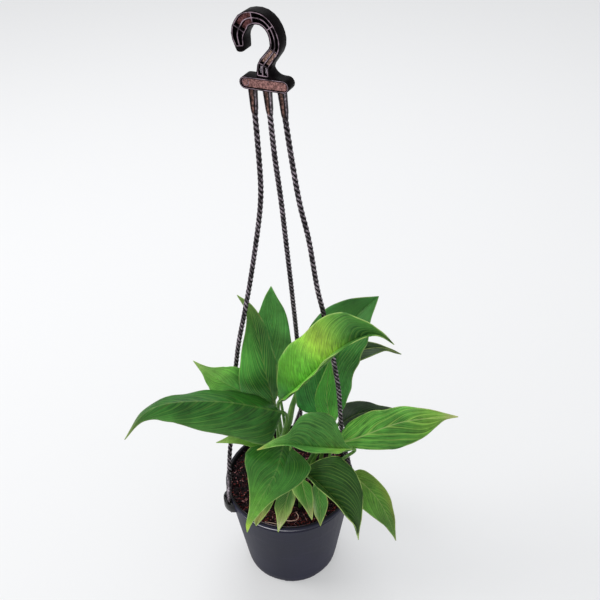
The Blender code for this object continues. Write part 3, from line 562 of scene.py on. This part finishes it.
def leaf_finish(name, underside):
    """Waxy green blade: thin midrib, side veins that sweep towards the tip, pale margin."""
    finish = Finish(name, 0.5 if underside else 0.4, 0.22)
    side, place = finish.uv("veins")
    across, way = finish.uv("span")
    across = finish.math("ABSOLUTE", finish.scaled(across, 2.0, -1.0))
    side = finish.math("ABSOLUTE", side)
    place = finish.scaled(finish.noise(15.0, 1.0), 1.8, place)
    off_line = finish.math("PINGPONG", place, 0.5)
    quilt = finish.ramp(off_line, 0.0, 0.5)

    # Side veins: a thin line in a soft band, each vein stronger or weaker than the next
    each = finish.node("CombineXYZ", place, finish.times(side, 0.3))[0]
    each = finish.ramp(finish.noise(1.0, 1.0, where=each), 0.36, 0.6)
    inside = finish.times(finish.ramp(across, 1.0, 0.7), finish.ramp(way, 1.0, 0.8))
    inside = finish.times(inside, finish.scaled(each, 0.75, 0.25))
    line = finish.times(finish.ramp(off_line, 0.1, 0.0), 0.75)
    line = finish.scaled(finish.ramp(off_line, 0.3, 0.0), 0.3, line)
    line = finish.times(line, inside)

    # Shade of the blade: mottled, patchy tone and painted sheen, streaked along the veins, darker
    # between them
    tint = finish.attribute("tint")
    gain = finish.attribute("tint", "Alpha")
    lay = finish.node("CombineXYZ", finish.times(place, 7.0), finish.times(side, 1.1))[0]
    fine = finish.ramp(finish.noise(1.0, 3.0, 0.6, where=lay), 0.34, 0.62)
    mottle = finish.noise(150.0, 4.0)
    cloud = finish.noise(24.0, 2.0)
    shade = finish.scaled(mottle, 0.6, 0.45)
    shade = finish.scaled(finish.ramp(cloud, 0.34, 0.66), 0.5, shade)
    streak = finish.times(finish.math("SUBTRACT", fine, 0.5), finish.scaled(gain, 0.3, 0.75))
    shade = finish.scaled(shade, streak, shade)
    shade = finish.times(shade, finish.scaled(finish.times(quilt, gain), -0.2, 1.04))
    green = finish.mix(1.0, tint, finish.grey(shade), "MULTIPLY")
    pale = finish.mix(0.6, tint, (184, 222, 104))
    green = finish.mix(finish.times(line, gain), green, pale)

    rib_width = finish.scaled(way, -0.07, 0.105)
    rib = finish.ramp(finish.math("DIVIDE", side, rib_width), 1.1, 0.6)
    rib = finish.times(rib, finish.attribute("rib_gain", "Fac"))
    green = finish.mix(rib, green, finish.mix(0.6, tint, (206, 220, 140)))

    dry = finish.noise(60.0, 2.0)
    margin = finish.ramp(finish.attribute("to_edge", "Fac"), 1.3, 0.4)
    margin = finish.times(margin, finish.attribute("margin_gain", "Fac"))
    margin = finish.times(margin, finish.ramp(dry, 0.32, 0.56))
    pale = finish.mix(finish.ramp(dry, 0.55, 0.7), (192, 222, 124), (180, 176, 100))
    green = finish.mix(margin, green, pale)
    if underside:
        green = finish.mix(0.35, green, (120, 160, 84))
    finish.colour(green)

    height = finish.scaled(quilt, 0.6, finish.times(fine, 0.35))
    height = finish.times(height, finish.scaled(gain, 0.7, 0.15))
    height = finish.scaled(mottle, 0.3, height)
    height = finish.scaled(cloud, 2.4, height)
    if underside:
        height = finish.times(height, -1.0)
    finish.bump(height, 0.0008, 0.5)
    return finish.material


def pot_finish():
    """Charcoal nursery plastic, matt, with faint flow marks and a little dust."""
    finish = Finish("pot_charcoal", 0.5, 0.1)
    grain = finish.noise(900.0, 2.0)
    cloud = finish.noise(14.0, 4.0)
    drag = finish.noise(60.0, 3.0, stretch=(0.25, 0.25, 3.0))
    colour = finish.mix(finish.ramp(cloud, 0.35, 0.7), (35, 36, 52), (46, 46, 64))
    dusty = finish.times(finish.ramp(drag, 0.55, 0.75), 0.25)
    colour = finish.mix(dusty, colour, (68, 64, 82))
    finish.colour(colour)
    finish.rough(finish.scaled(cloud, 0.2, 0.4))
    finish.bump(grain, 0.0002, 0.35)
    return finish.material


def patchy_finish(name):
    """One paint with others laid over it in patches, and a grain, as PATCHY says."""
    roughness, shine, colour, patches, grain = PATCHY[name]
    finish = Finish(name, roughness, shine)
    for noise, low, high, over in patches:
        colour = finish.mix(finish.ramp(finish.noise(*noise), low, high), colour, over)
    finish.colour(colour)
    if grain:
        noise, depth, strength = grain
        finish.bump(finish.noise(*noise), depth, strength)
    return finish.material


def lip_highlight_finish():
    # Its tint is a painted highlight on the lip's edges.
    finish = Finish("lip_painted_highlight", 0.4, 0.3)
    finish.tinted(finish.scaled(finish.noise(300.0, 2.0), 0.5, 0.75))
    return finish.material


def chip_finish():
    """Coir fibres and bark chips: each has its own tint."""
    finish = Finish("soil_chips", 0.8, 0.25)
    fibre = finish.noise(700.0, 4.0, 0.7)
    finish.tinted(finish.scaled(fibre, 1.5, 0.25))
    finish.bump(fibre, 0.0006, 0.8)
    return finish.material


def root_finish():
    finish = Finish("root_pink", 0.6)
    patch = finish.noise(180.0, 2.0)
    finish.colour(finish.mix(patch, (226, 164, 140), (250, 222, 206)))
    return finish.material


def hanger_finish():
    """Black moulded plastic: brown, pale mauve and tan in the recesses, rubbed edges with painted
    highlight.
    """
    finish = Finish("hanger_black", 0.34, 0.015)
    grain = finish.noise(900.0, 3.0)
    speck = finish.ramp(finish.noise(650.0, 2.0, 0.7), 0.35, 0.68)
    finish.tinted(finish.scaled(speck, 1.15, 0.4))
    finish.rough(finish.scaled(grain, 0.25, 0.22))
    finish.bump(grain, 0.0003, 0.5)
    return finish.material


def rope_finish():
    """The same black plastic on the straps, pale with scuffs and painted highlight on flat edges
    and crests.
    """
    finish = Finish("strap_black", 0.24, 0.08)
    # Specks and patches break the painted highlight and scuffs up along the strap
    speck = finish.ramp(finish.noise(420.0, 2.0), 0.4, 0.66)
    highlight_and_scuff_patches = finish.ramp(finish.noise(75.0, 2.0), 0.38, 0.62)
    shade = finish.times(finish.scaled(speck, 1.3, 0.35), finish.scaled(highlight_and_scuff_patches, 0.75, 0.6))
    finish.tinted(shade)
    finish.bump(finish.noise(800.0, 2.0), 0.0003, 0.4)
    return finish.material


def is_small(leaf):
    return len(leaf["left"]) < len(BLADE_STATIONS)


def stalk_radius(leaf, way):
    """Stalk radius from the soil (0) to the collar (1), in millimetres."""
    foot, middle, collar = leaf.get("stalk", SMALL_STALK if is_small(leaf) else LARGE_STALK)
    if way < 0.5:
        return foot + (middle - foot) * way * 2
    return middle + (collar - middle) * (way * 2 - 1)


def stalk_path(leaf, curve):
    """From just inside the soil up to the collar, as the part's own stalk goes."""
    x, y = leaf["foot"]
    below = Vector((x, y, SOIL_TOP - 6.0))
    foot = Vector((x, y, SOIL_TOP + 3.0))
    collar = curve[0]
    if "via" in leaf:
        return [below] + spline([foot] + leaf["via"] + [collar], 22)
    start = heading(curve, 0.02)
    reach = (collar - foot).length
    handle_a = foot + Vector((0, 0, reach * 0.45))
    handle_b = collar - start * reach * 0.15
    bend = []
    for k in range(17):
        t = k / 16
        bend.append((1 - t) ** 3 * foot + 3 * t * (1 - t) ** 2 * handle_a
                    + 3 * t * t * (1 - t) * handle_b + t ** 3 * collar)
    return [below] + bend


def roll_tube(bm, sides, rings, place):
    """A grid rolled up and capped; place(vert, ring, angle) gives each point."""
    made = bmesh.ops.create_grid(bm, x_segments=sides, y_segments=rings - 1, size=1.0)["verts"]
    for v in made:
        ring = round((v.co.y + 1) / 2 * (rings - 1))
        v.co = mm(*place(v, ring, math.pi * (v.co.x + 1)))
    bmesh.ops.remove_doubles(bm, verts=made, dist=0.000001)
    rims = [e for e in bm.edges if e.is_boundary]
    if rims:
        bmesh.ops.holes_fill(bm, edges=rims, sides=0)


def sweep_tube(bm, path, radii, sides):
    """A round tube along a path."""
    up = Vector((0.31, 0.17, 0.94))
    frames = []
    for k, point in enumerate(path):
        head = direction(path, k).normalized()
        up = (up - head * up.dot(head)).normalized()
        frames.append((point, up, head.cross(up), radii[k]))

    def place(_, ring, angle):
        point, side, across, radius = frames[ring]
        return point + side * math.cos(angle) * radius + across * math.sin(angle) * radius

    roll_tube(bm, sides, len(path), place)


def leaf_tint(leaf, t, u):
    """The blade's colour at a part of its way and width; the alpha is its veins' strength."""
    colour = paint(leaf["base"])
    for spot in leaf["spots"]:
        if len(spot) == 4:
            spot = (spot[0], 0.0, spot[1], 2.0, *spot[2:])
        way, across, reach, spread, over, share = spot
        weight = math.exp(-((t - way) / reach) ** 2 - ((u - across) / spread) ** 2)
        colour = colour.lerp(paint(over), share * weight)
    return (*colour, leaf["vein"])


def blade_axes(leaf, curve, t):
    """Two directions on the blade: towards its tip, and out of its upper side."""
    along = heading(curve, t, 0.03)
    look = at([Vector(f) for f in leaf["face"]], t)
    return along, (look - along * look.dot(along)).normalized()


def make_leaf(name, leaf, materials, rng):
    """Blade from a grid laid over the leaf's midrib, stalk from a swept tube."""
    small = is_small(leaf)
    rows, columns = SMALL_GRID if small else LARGE_GRID
    stations = BLADE_STATIONS[::2] if small else BLADE_STATIONS
    curve = spline(leaf["rib"], 201)
    length = sum((b - a).length for a, b in zip(curve, curve[1:]))
    collar = stalk_radius(leaf, 1.0)
    places = (0.0,) + stations + (1.0,)
    halves = [(collar,) + tuple(leaf[key]) + (0.35,) for key in ("left", "right")]
    widest = [max(half) for half in halves]
    fold = math.radians(leaf["fold"])
    phase = rng.uniform(0, math.tau)

    bm = bmesh.new()
    tint = bm.verts.layers.float_color.new("tint")
    rib_gain = bm.verts.layers.float.new("rib_gain")
    margin_gain = bm.verts.layers.float.new("margin_gain")
    to_edge = bm.verts.layers.float.new("to_edge")
    veins = bm.loops.layers.uv.new("veins")
    span = bm.loops.layers.uv.new("span")
    made = bmesh.ops.create_grid(bm, x_segments=columns, y_segments=rows, size=1.0)["verts"]
    facts = {}
    for v in made:
        even = (v.co.y + 1) / 2
        crowded = 0.5 - 0.5 * math.cos(math.pi * even)
        t = even * (1 - ROW_CROWDING) + crowded * ROW_CROWDING
        u = math.copysign(abs(v.co.x) ** COLUMN_CROWDING, v.co.x)
        along, normal = blade_axes(leaf, curve, t)
        side = along.cross(normal)
        half = eased(places, halves[u > 0], t)
        x = u * half
        sign = (u > 0) - (u < 0)
        out = normal * math.cos(fold) - side * sign * math.sin(fold)
        lift = side * x * math.cos(fold) + normal * abs(x) * math.sin(fold)
        arch = HALF_ARCH * half * 4 * abs(u) * (1 - abs(u))
        groove = RIB_GROOVE * math.exp(-(x / RIB_GROOVE_REACH) ** 2) * (1 - t) ** 0.5
        turn = phase + MARGIN_WAVE_TURN * length * t
        wave = MARGIN_WAVE * abs(u) ** 3 * math.sin(turn) * min(1, half / 12)
        point = at(curve, t) + lift + out * (arch + wave) - normal * groove
        v.co = mm(*point)
        v[tint] = leaf_tint(leaf, t, u)
        v[rib_gain] = leaf["rib_gain"]
        v[margin_gain] = leaf.get("margin", USUAL_MARGIN)
        v[to_edge] = half - abs(x)
        aside = x - leaf.get("rib_aside", 0.0) * (1 - t)
        share = abs(aside) / half
        lean = share * widest[aside > 0] * (leaf["sweep"][0] + leaf["sweep"][1] * share)
        facts[v.index] = (aside * 0.1, (length * t - lean) / leaf["period"], 0.5 + 0.5 * u, t)
    for face in bm.faces:
        for loop in face.loops:
            side, place, across, way = facts[loop.vert.index]
            loop[veins].uv = (side, place)
            loop[span].uv = (across, way)
    blade = finish_piece("lily_" + name, bm, materials[:2], name, 70.0)
    shell = blade.modifiers.new("blade_thickness", "SOLIDIFY")
    shell.thickness = mm(BLADE_THICKNESS)
    shell.offset = 0.0
    shell.material_offset = 1

    bm = bmesh.new()
    path = stalk_path(leaf, curve)
    radii = [stalk_radius(leaf, k / (len(path) - 1)) for k in range(len(path))]
    for k in range(1, RIB_STEPS + 1):
        t = RIB_END * k / RIB_STEPS
        _, normal = blade_axes(leaf, curve, t)
        radius = collar * (1 - t) ** 0.8 + 0.25
        path.append(at(curve, t) - normal * (radius + 0.45))
        radii.append(radius)
    sweep_tube(bm, path, radii, 12)
    finish_detail("stalk_" + name, bm, materials[2])


def bevelled_copy(node, sharp_deg, offset):
    """A copy of a node's mesh, welded and with its sharp edges rounded."""
    bm = bmesh.new()
    bm.from_mesh(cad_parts[node].data)
    bmesh.ops.remove_doubles(bm, verts=bm.verts, dist=0.00001)
    bmesh.ops.dissolve_limit(bm, angle_limit=math.radians(1.5), verts=bm.verts, edges=bm.edges,
                             use_dissolve_boundaries=False)
    sharp = [e for e in bm.edges
             if len(e.link_faces) == 2 and e.calc_face_angle() > math.radians(sharp_deg)]
    bmesh.ops.bevel(bm, geom=sharp, offset=mm(offset), offset_type="OFFSET", segments=2,
                    profile=0.5, affect="EDGES", material=-1, clamp_overlap=True)
    return bm


def make_pot(materials):
    """The turned pot: ears darker and glossier than its wall, the inside and lip top painted black
    as shade.
    """
    bm = bevelled_copy("pot", 38.0, 0.35)
    for face in bm.faces:
        middle = face.calc_center_median() * 1000.0
        reach = middle.to_2d().length
        inward = face.normal.z > 0.8 or face.normal.to_2d().dot(middle.to_2d()) < 0
        if reach > EARS_FROM and middle.z > EARS_ABOVE:
            face.material_index = 1
        elif reach < INSIDE_TO and middle.z > FLOOR_TOP and inward:
            # Painted shade: the inside and the lip top are made near black
            face.material_index = 2
    finish_piece("nursery_pot", bm, materials, "pot", 32.0)


def make_lip_highlight_lines(material):
    """The lip's outer and inner edges, with painted highlight along the front."""
    bm = bmesh.new()
    tint = bm.verts.layers.float_color.new("tint")
    for radius, height, thick, brightest_highlight in LIP_HIGHLIGHT_LINES:
        path, radii = [], []
        for k in range(LIP_STEPS):
            azimuth = LIP_START_DEG + k * LIP_STEP_DEG
            path.append(polar(radius, azimuth, height))
            swell = 0.3 + 1.4 * math.exp(-((azimuth - LIP_HIGHLIGHT_DEG) / 24.0) ** 2)
            radii.append(thick * min(1.0, swell))
        before = set(bm.verts)
        sweep_tube(bm, path, radii, 8)
        for v in set(bm.verts) - before:
            azimuth = math.degrees(math.atan2(v.co.y, v.co.x)) % 360.0
            # Painted highlight: brightest at the middle of the front, fading to the dull colour at
            # the ends.
            share = math.exp(-((azimuth - LIP_HIGHLIGHT_DEG) / 20.0) ** 2)
            v[tint] = (*paint(LIP_DULL).lerp(paint(brightest_highlight), share), 1.0)
    finish_detail("lip_painted_highlight_lines", bm, material)


def bar_directions():
    angle = math.radians(BAR_TURN_DEG)
    return (Vector((math.cos(angle), math.sin(angle), 0)),
            Vector((math.sin(angle), -math.cos(angle), 0)))


def hanger_point(u, w, depth):
    """A point of the hanger: along the bar's direction, up, and out of its face."""
    along, front = bar_directions()
    return BAR_CENTRE + along * u + front * depth + Vector((0, 0, w))


def bar_point(u, w, depth):
    """The same, for the bar, which is tilted."""
    tilt = math.radians(BAR_TILT_DEG)
    return hanger_point(u * math.cos(tilt) - w * math.sin(tilt),
                        u * math.sin(tilt) + w * math.cos(tilt), depth)


def bar_ring(inset):
    """Once round the bar's face with its round ends, a little inside the edge."""
    radius, reach = BAR_HEIGHT / 2 - inset, (BAR_LENGTH - BAR_HEIGHT) / 2
    ring = []
    for k in range(49):
        angle = math.tau * (k + 0.5) / 48
        ring.append((math.copysign(reach, math.cos(angle)) + radius * math.cos(angle),
                     radius * math.sin(angle)))
    return ring


def hook_point(rail, k, share, depth):
    """A point beside the hook's centre line, at a share of its half width."""
    way = direction(rail, k).to_2d().normalized()
    reach = share * (rail[k].z - HOOK_FLANGE)
    return hanger_point(rail[k].x - way.y * reach, rail[k].y + way.x * reach, depth)


def make_worn_and_highlight_lines(material):
    """Edges of the hook's ribs and pockets, rubbed and painted highlight, as fine pale beads on
    both faces.
    """
    rail = spline(HOOK_SPINE, HOOK_STEPS)
    turns = [math.tau * k / 24 for k in range(25)]
    mark = [(MARK_PLACE + MARK_RADIUS * math.cos(turn), MARK_RADIUS * math.sin(turn))
            for turn in turns]
    lines = []
    for depth in (BAR_THICKNESS / 2, -BAR_THICKNESS / 2):
        inner = depth - math.copysign(BAR_RECESS, depth)
        lines.append((BAR_BEAD, [bar_point(u, w, depth) for u, w in bar_ring(0.7)]))
        lines.append((MARK_BEAD, [bar_point(u, w, inner) for u, w in mark]))
    for depth in (HOOK_THICKNESS / 2, -HOOK_THICKNESS / 2):
        for share, bead in HOOK_BEADS:
            steps = range(4, HOOK_STEPS - 6)
            lines.append((bead, [hook_point(rail, k, share, depth) for k in steps]))
        for way in HOOK_RIBS:
            k = round(way * (HOOK_STEPS - 1))
            quarters = range(-4, 5)
            lines.append((RIB_BEAD, [hook_point(rail, k, n / 4, depth) for n in quarters]))
    bm = bmesh.new()
    for bead, path in lines:
        sweep_tube(bm, path, [bead] * len(path), 6)
    finish_detail("worn_and_highlight_lines", bm, material)


def hook_colour(u, height):
    """Brown, pale mauve, tan or black, by the place on the recessed face."""
    if height < BAR_FACE_TO:
        return (156, 114, 110)
    if height < WINDOW_TO:
        return (236, 220, 232)
    if height < NECK_TO and u > -3.0:
        return (255, 206, 188)
    if height > CROWN_FROM and u < -5.0:
        return (150, 98, 98)
    return HANGER_BLACK


def make_hook(material):
    """The hook and bar, edges rounded, with brown, pale mauve and tan on the recessed faces."""
    bm = bevelled_copy("hanger_hook", 30.0, 0.3)
    tint = bm.loops.layers.float_color.new("tint")
    along, front = bar_directions()
    for face in bm.faces:
        middle = face.calc_center_median() * 1000.0 - BAR_CENTRE
        recessed = abs(middle.dot(front)) < BAR_THICKNESS / 2 - BAR_RECESS / 2
        colour = HANGER_BLACK
        if recessed and abs(face.normal.dot(front)) > 0.9:
            colour = hook_colour(middle.dot(along), middle.z)
        for loop in face.loops:
            loop[tint] = (*paint(colour), 1.0)
    finish_piece("moulded_hook", bm, [material], "hanger_hook", 40.0)


def rope_outline(angle):
    """Radius of three strands laid together, at an angle round the rope."""
    third = math.tau / 3
    off = (angle + third / 2) % third - third / 2
    inner = ROPE_RADIUS - ROPE_STRAND_RADIUS
    return inner * math.cos(off) + math.sqrt(ROPE_STRAND_RADIUS ** 2
                                             - (inner * math.sin(off)) ** 2)


def channel_outline(angle, width, thick, groove):
    """A flat section with rounded edges and a groove down the middle of both faces."""
    c, s = math.cos(angle), math.sin(angle)
    x = math.copysign(abs(c) ** CHANNEL_ROUND, c) * width / 2
    y = math.copysign(abs(s) ** CHANNEL_ROUND, s) * thick / 2
    y -= math.copysign(groove * math.exp(-(x / (width * 0.22)) ** 4), y) if abs(y) > 0.2 else 0.0
    return x, y


def make_strap(key, place, azimuth, via, material):
    """A moulded rope: grooved root under the bar, three laid strands, fork, tongue and head."""
    along_bar, _ = bar_directions()
    root = BAR_CENTRE + along_bar * place * STRAP_PITCH
    root.z += place * STRAP_PITCH * math.tan(math.radians(BAR_TILT_DEG))
    root.z -= BAR_HEIGHT / 2 + STRAP_GAP
    ear = polar(EAR_SLOT_RADIUS, azimuth, EAR_TOP + 2.0)
    across_ear = polar(1.0, azimuth + 90.0, 0.0)
    if across_ear.dot(along_bar) < 0:
        across_ear = -across_ear
    under = root + (Vector(via[0]) - root).normalized() * ROOT_DROP
    path = spline([root, under] + via + [ear], STRAP_STEPS)
    travelled = [0.0]
    for a, b in zip(path, path[1:]):
        travelled.append(travelled[-1] + (b - a).length)
    total = travelled[-1]
    cord = 2 * ROPE_RADIUS
    sections = []
    for k, point in enumerate(path):
        head = direction(path, k).normalized()
        way, left = travelled[k], total - travelled[k]
        across = along_bar.lerp(across_ear, way / total)
        size, flat, groove = (cord, cord), 0.0, 0.0
        if way < ROOT_LENGTH:
            blend = 1 - way / ROOT_LENGTH
            size = (cord + (ROOT_WIDTH - cord) * blend, cord + 0.4 * blend)
            flat, groove = limited(blend * 4), ROOT_GROOVE * limited((blend - 0.3) * 3)
        elif left < FORK_LENGTH:
            blend = (1 - left / FORK_LENGTH) ** FORK_SWELL
            size = (cord + (TONGUE_WIDTH - cord) * blend, cord + (TONGUE_THICKNESS - cord) * blend)
            flat, groove = limited(blend * 4), FORK_GROOVE * limited((blend - 0.2) * 3)
        sections.append((point, head, across, size, flat, groove, way))
    down = Vector((0, 0, -1))
    low = polar(EAR_SLOT_RADIUS, azimuth, EAR_BOTTOM - 0.5)
    tail = [(ear + down * 4.0, TONGUE_WIDTH, TONGUE_THICKNESS),
            (low, TONGUE_WIDTH, TONGUE_THICKNESS),
            (low + down * 0.1, HEAD_WIDTH - 1.0, TONGUE_THICKNESS + 0.2),
            (low + down * 0.5, HEAD_WIDTH, TONGUE_THICKNESS + 0.6),
            (low + down * (HEAD_HEIGHT - 0.8), HEAD_WIDTH - 2.2, TONGUE_THICKNESS + 0.2),
            (low + down * HEAD_HEIGHT, HEAD_WIDTH - 4.0, TONGUE_THICKNESS - 0.6)]
    for point, width, thick in tail:
        sections.append((point, down, across_ear, (width, thick), 1.0, 0.0, total))
    skin_rope("strap_rope_" + key, "strap_" + key, sections, material)


def skin_rope(name, node, sections, material):
    """A tube through the sections: strands where it is a rope, a channel where it is flat."""
    bm = bmesh.new()
    tint = bm.verts.layers.float_color.new("tint")
    black, root_brown, scuff_and_highlight = paint((11, 8, 11)), paint((146, 108, 98)), paint((168, 154, 164))

    def place(v, ring, angle):
        point, head, across, size, flat, groove, way = sections[ring]
        side = (across - head * across.dot(head)).normalized()
        up = head.cross(side)
        lay = rope_outline(angle + math.tau * way / ROPE_PITCH)
        rope = Vector((lay * math.cos(angle), lay * math.sin(angle)))
        channel = Vector(channel_outline(angle, size[0], size[1], groove))
        x, y = rope.lerp(channel, flat)
        # Scuffs and painted highlight pale the flat edges and the strands' crests; brown in the
        # root's middle
        edge = limited((abs(x) / size[0] - 0.36) * 20.0)
        edge *= limited(abs(y) / size[1] * 5.0 - 1.0)
        middle = limited(1.0 - abs(x) / size[0] * 5.0)
        crest = max(0.0, (lay - ROPE_INNER) / (ROPE_RADIUS - ROPE_INNER) - CREST_FROM)
        scuff_and_highlight_share = limited(flat * edge + (1 - flat) * crest * CREST_GAIN)
        core = black.lerp(root_brown if way < ROOT_LENGTH else scuff_and_highlight, flat * middle)
        v[tint] = (*core.lerp(scuff_and_highlight, scuff_and_highlight_share), 1.0)
        return point + side * x + up * y

    roll_tube(bm, 24, len(sections), place)
    bmesh.ops.recalc_face_normals(bm, faces=bm.faces)
    finish_piece(name, bm, [material], node, 50.0)


def bank_height(radius):
    share = limited((radius - BANK_INNER) / (BANK_OUTER - BANK_INNER))
    return SOIL_TOP + 0.3 + BANK_HEIGHT * share * share * (3 - 2 * share)


def make_soil_bank(material):
    """The soil banked up against the wall: a profile spun round, a little uneven on top."""
    bm = bmesh.new()
    radii = [BANK_INNER + (BANK_OUTER - BANK_INNER) * k / 14 for k in range(15)]
    profile = [(BANK_INNER, SOIL_TOP + 0.05)] + [(r, bank_height(r)) for r in radii]
    profile.append((BANK_OUTER, SOIL_TOP + 0.05))
    verts = [bm.verts.new(mm(r, 0, z)) for r, z in profile]
    edges = [bm.edges.new(pair) for pair in zip(verts, verts[1:] + verts[:1])]
    bmesh.ops.spin(bm, geom=verts + edges, angle=math.tau, steps=120, use_merge=True,
                   axis=(0, 0, 1), cent=(0, 0, 0))
    for v in bm.verts:
        x, y, z = v.co * 1000.0
        if z > SOIL_TOP + 0.2:
            v.co.z += mm(0.5 * math.sin(x * 0.41 + y * 0.23) * math.sin(y * 0.37 - x * 0.19))
    finish_detail("soil_bank", bm, material)


def chip_size(rng, k):
    """Length, width and height: two fibres of three, then crumbs and the odd bark chip."""
    if k % 3 < 2:
        return rng.uniform(1.8, 5.0), rng.uniform(0.35, 0.65), rng.uniform(0.3, 0.5)
    if k % 4 == 0:
        return rng.uniform(1.6, 2.8), rng.uniform(0.9, 1.5), rng.uniform(0.7, 1.1)
    return rng.uniform(0.8, 1.7), rng.uniform(0.6, 1.1), rng.uniform(0.5, 0.9)


def make_soil_chips(material, rng):
    """Short coir fibres, crumbs and angular chips strewn over the soil, laid in batches."""
    layer = bmesh.new()
    batch_mesh = bpy.data.meshes.new("chip_batch")
    for _ in range(CHIP_BATCHES):
        bm = bmesh.new()
        tint = bm.verts.layers.float_color.new("tint")
        for k in range(CHIPS_IN_BATCH):
            size = chip_size(rng, k)
            radius = POT_INSIDE_RADIUS * math.sqrt(rng.random()) * 0.985
            radius = min(radius, POT_INSIDE_RADIUS - size[0] * 0.5)
            spot = polar(radius, rng.uniform(0, 360), bank_height(radius) + rng.uniform(0.1, 1.0))
            spin = Matrix.Rotation(rng.uniform(0, math.tau), 4, "Z")
            tip = Matrix.Rotation(rng.uniform(-0.3, 0.3), 4, "Y")
            place = Matrix.Translation(mm(*spot)) @ spin @ tip @ Matrix.Diagonal((*mm(*size), 1.0))
            redder = spot.y < CHIPS_REDDER_FROM
            colour = paint(rng.choice(CHIP_TINTS[DARKEST_CHIPS:] if redder else CHIP_TINTS))
            for v in bmesh.ops.create_cube(bm, size=1.0, matrix=place)["verts"]:
                v.co += mm(*(rng.uniform(-CHIP_UNEVEN, CHIP_UNEVEN) * min(size[0], 3.0)
                             for _ in range(3)))
                v[tint] = (*colour, 1.0)
        bm.to_mesh(batch_mesh)
        bm.free()
        layer.from_mesh(batch_mesh)
    bpy.data.meshes.remove(batch_mesh)
    finish_piece("soil_chip_layer", layer, [material], None, 20.0)


def make_root(material):
    bm = bmesh.new()
    path = spline(CURLED_ROOT, 60)
    radii = [0.3 + 0.24 * math.sin(math.pi * k / 59) for k in range(60)]
    sweep_tube(bm, path, radii, 8)
    finish_detail("curled_root", bm, material)


def make_floor():
    bm = bmesh.new()
    bmesh.ops.create_grid(bm, x_segments=1, y_segments=1, size=4.0)
    bmesh.ops.translate(bm, verts=bm.verts, vec=mm(0, 0, -0.3))
    mesh = bpy.data.meshes.new("studio_floor")
    bm.to_mesh(mesh)
    bm.free()
    finish = Finish("studio_white", 0.75, 0.2)
    finish.colour(FLOOR_GREY)
    finish.shader.inputs["Emission Color"].default_value = (1.0, 1.0, 1.0, 1.0)
    finish.shader.inputs["Emission Strength"].default_value = FLOOR_GLOW
    mesh.materials.append(finish.material)
    put_in_scene("studio_floor", mesh)


def make_light():
    world = bpy.data.worlds.new("studio_air")
    bpy.context.scene.world = world
    world.use_nodes = True
    air = world.node_tree.nodes["Background"]
    air.inputs["Color"].default_value = AIR_COLOUR
    air.inputs["Strength"].default_value = AIR_STRENGTH
    for name, (place, width, power, colour) in LIGHTS.items():
        light = bpy.data.lights.new(name, "AREA")
        light.shape = "DISK"
        light.size = width
        light.energy = power
        light.color = colour
        lamp = put_in_scene(name, light)
        lamp.location = place
        aim = Vector(LIGHTS_AIM) - Vector(place)
        lamp.rotation_euler = aim.to_track_quat("-Z", "Y").to_euler()


def make_camera():
    """The photo's view: from the front, well above, a little rolled."""
    camera = bpy.data.cameras.new("studio_camera")
    camera.sensor_width = 36.0
    camera.lens = CAMERA_LENS
    tip = Matrix.Rotation(math.radians(90.0 - CAMERA_DOWN_DEG), 4, "X")
    roll = Matrix.Rotation(math.radians(CAMERA_ROLL_DEG), 4, "Z")
    rig = put_in_scene("studio_camera", camera)
    rig.matrix_world = Matrix.Translation(CAMERA_PLACE) @ tip @ roll
    bpy.context.scene.camera = rig


def main():
    rng = random.Random(SEED)
    bpy.context.scene.view_settings.view_transform = "Standard"
    leaf_materials = [leaf_finish("leaf_upper", False), leaf_finish("leaf_under", True),
                      patchy_finish("stalk_green")]
    for name, leaf in LEAVES.items():
        make_leaf("leaf_" + name, leaf, leaf_materials, rng)
    make_pot([pot_finish(), patchy_finish("ear_black"), patchy_finish("pot_inside_shade")])
    make_lip_highlight_lines(lip_highlight_finish())
    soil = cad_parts["soil"]
    soil.data.materials.clear()
    soil.data.materials.append(patchy_finish("soil_bed"))
    make_soil_bank(soil.data.materials[0])
    make_soil_chips(chip_finish(), rng)
    make_root(root_finish())
    make_hook(hanger_finish())
    make_worn_and_highlight_lines(patchy_finish("worn_and_highlight_mauve"))
    rope = rope_finish()
    for key, (place, azimuth, via) in STRAPS.items():
        make_strap(key, place, azimuth, via, rope)
    make_floor()
    make_light()
    make_camera()


main()
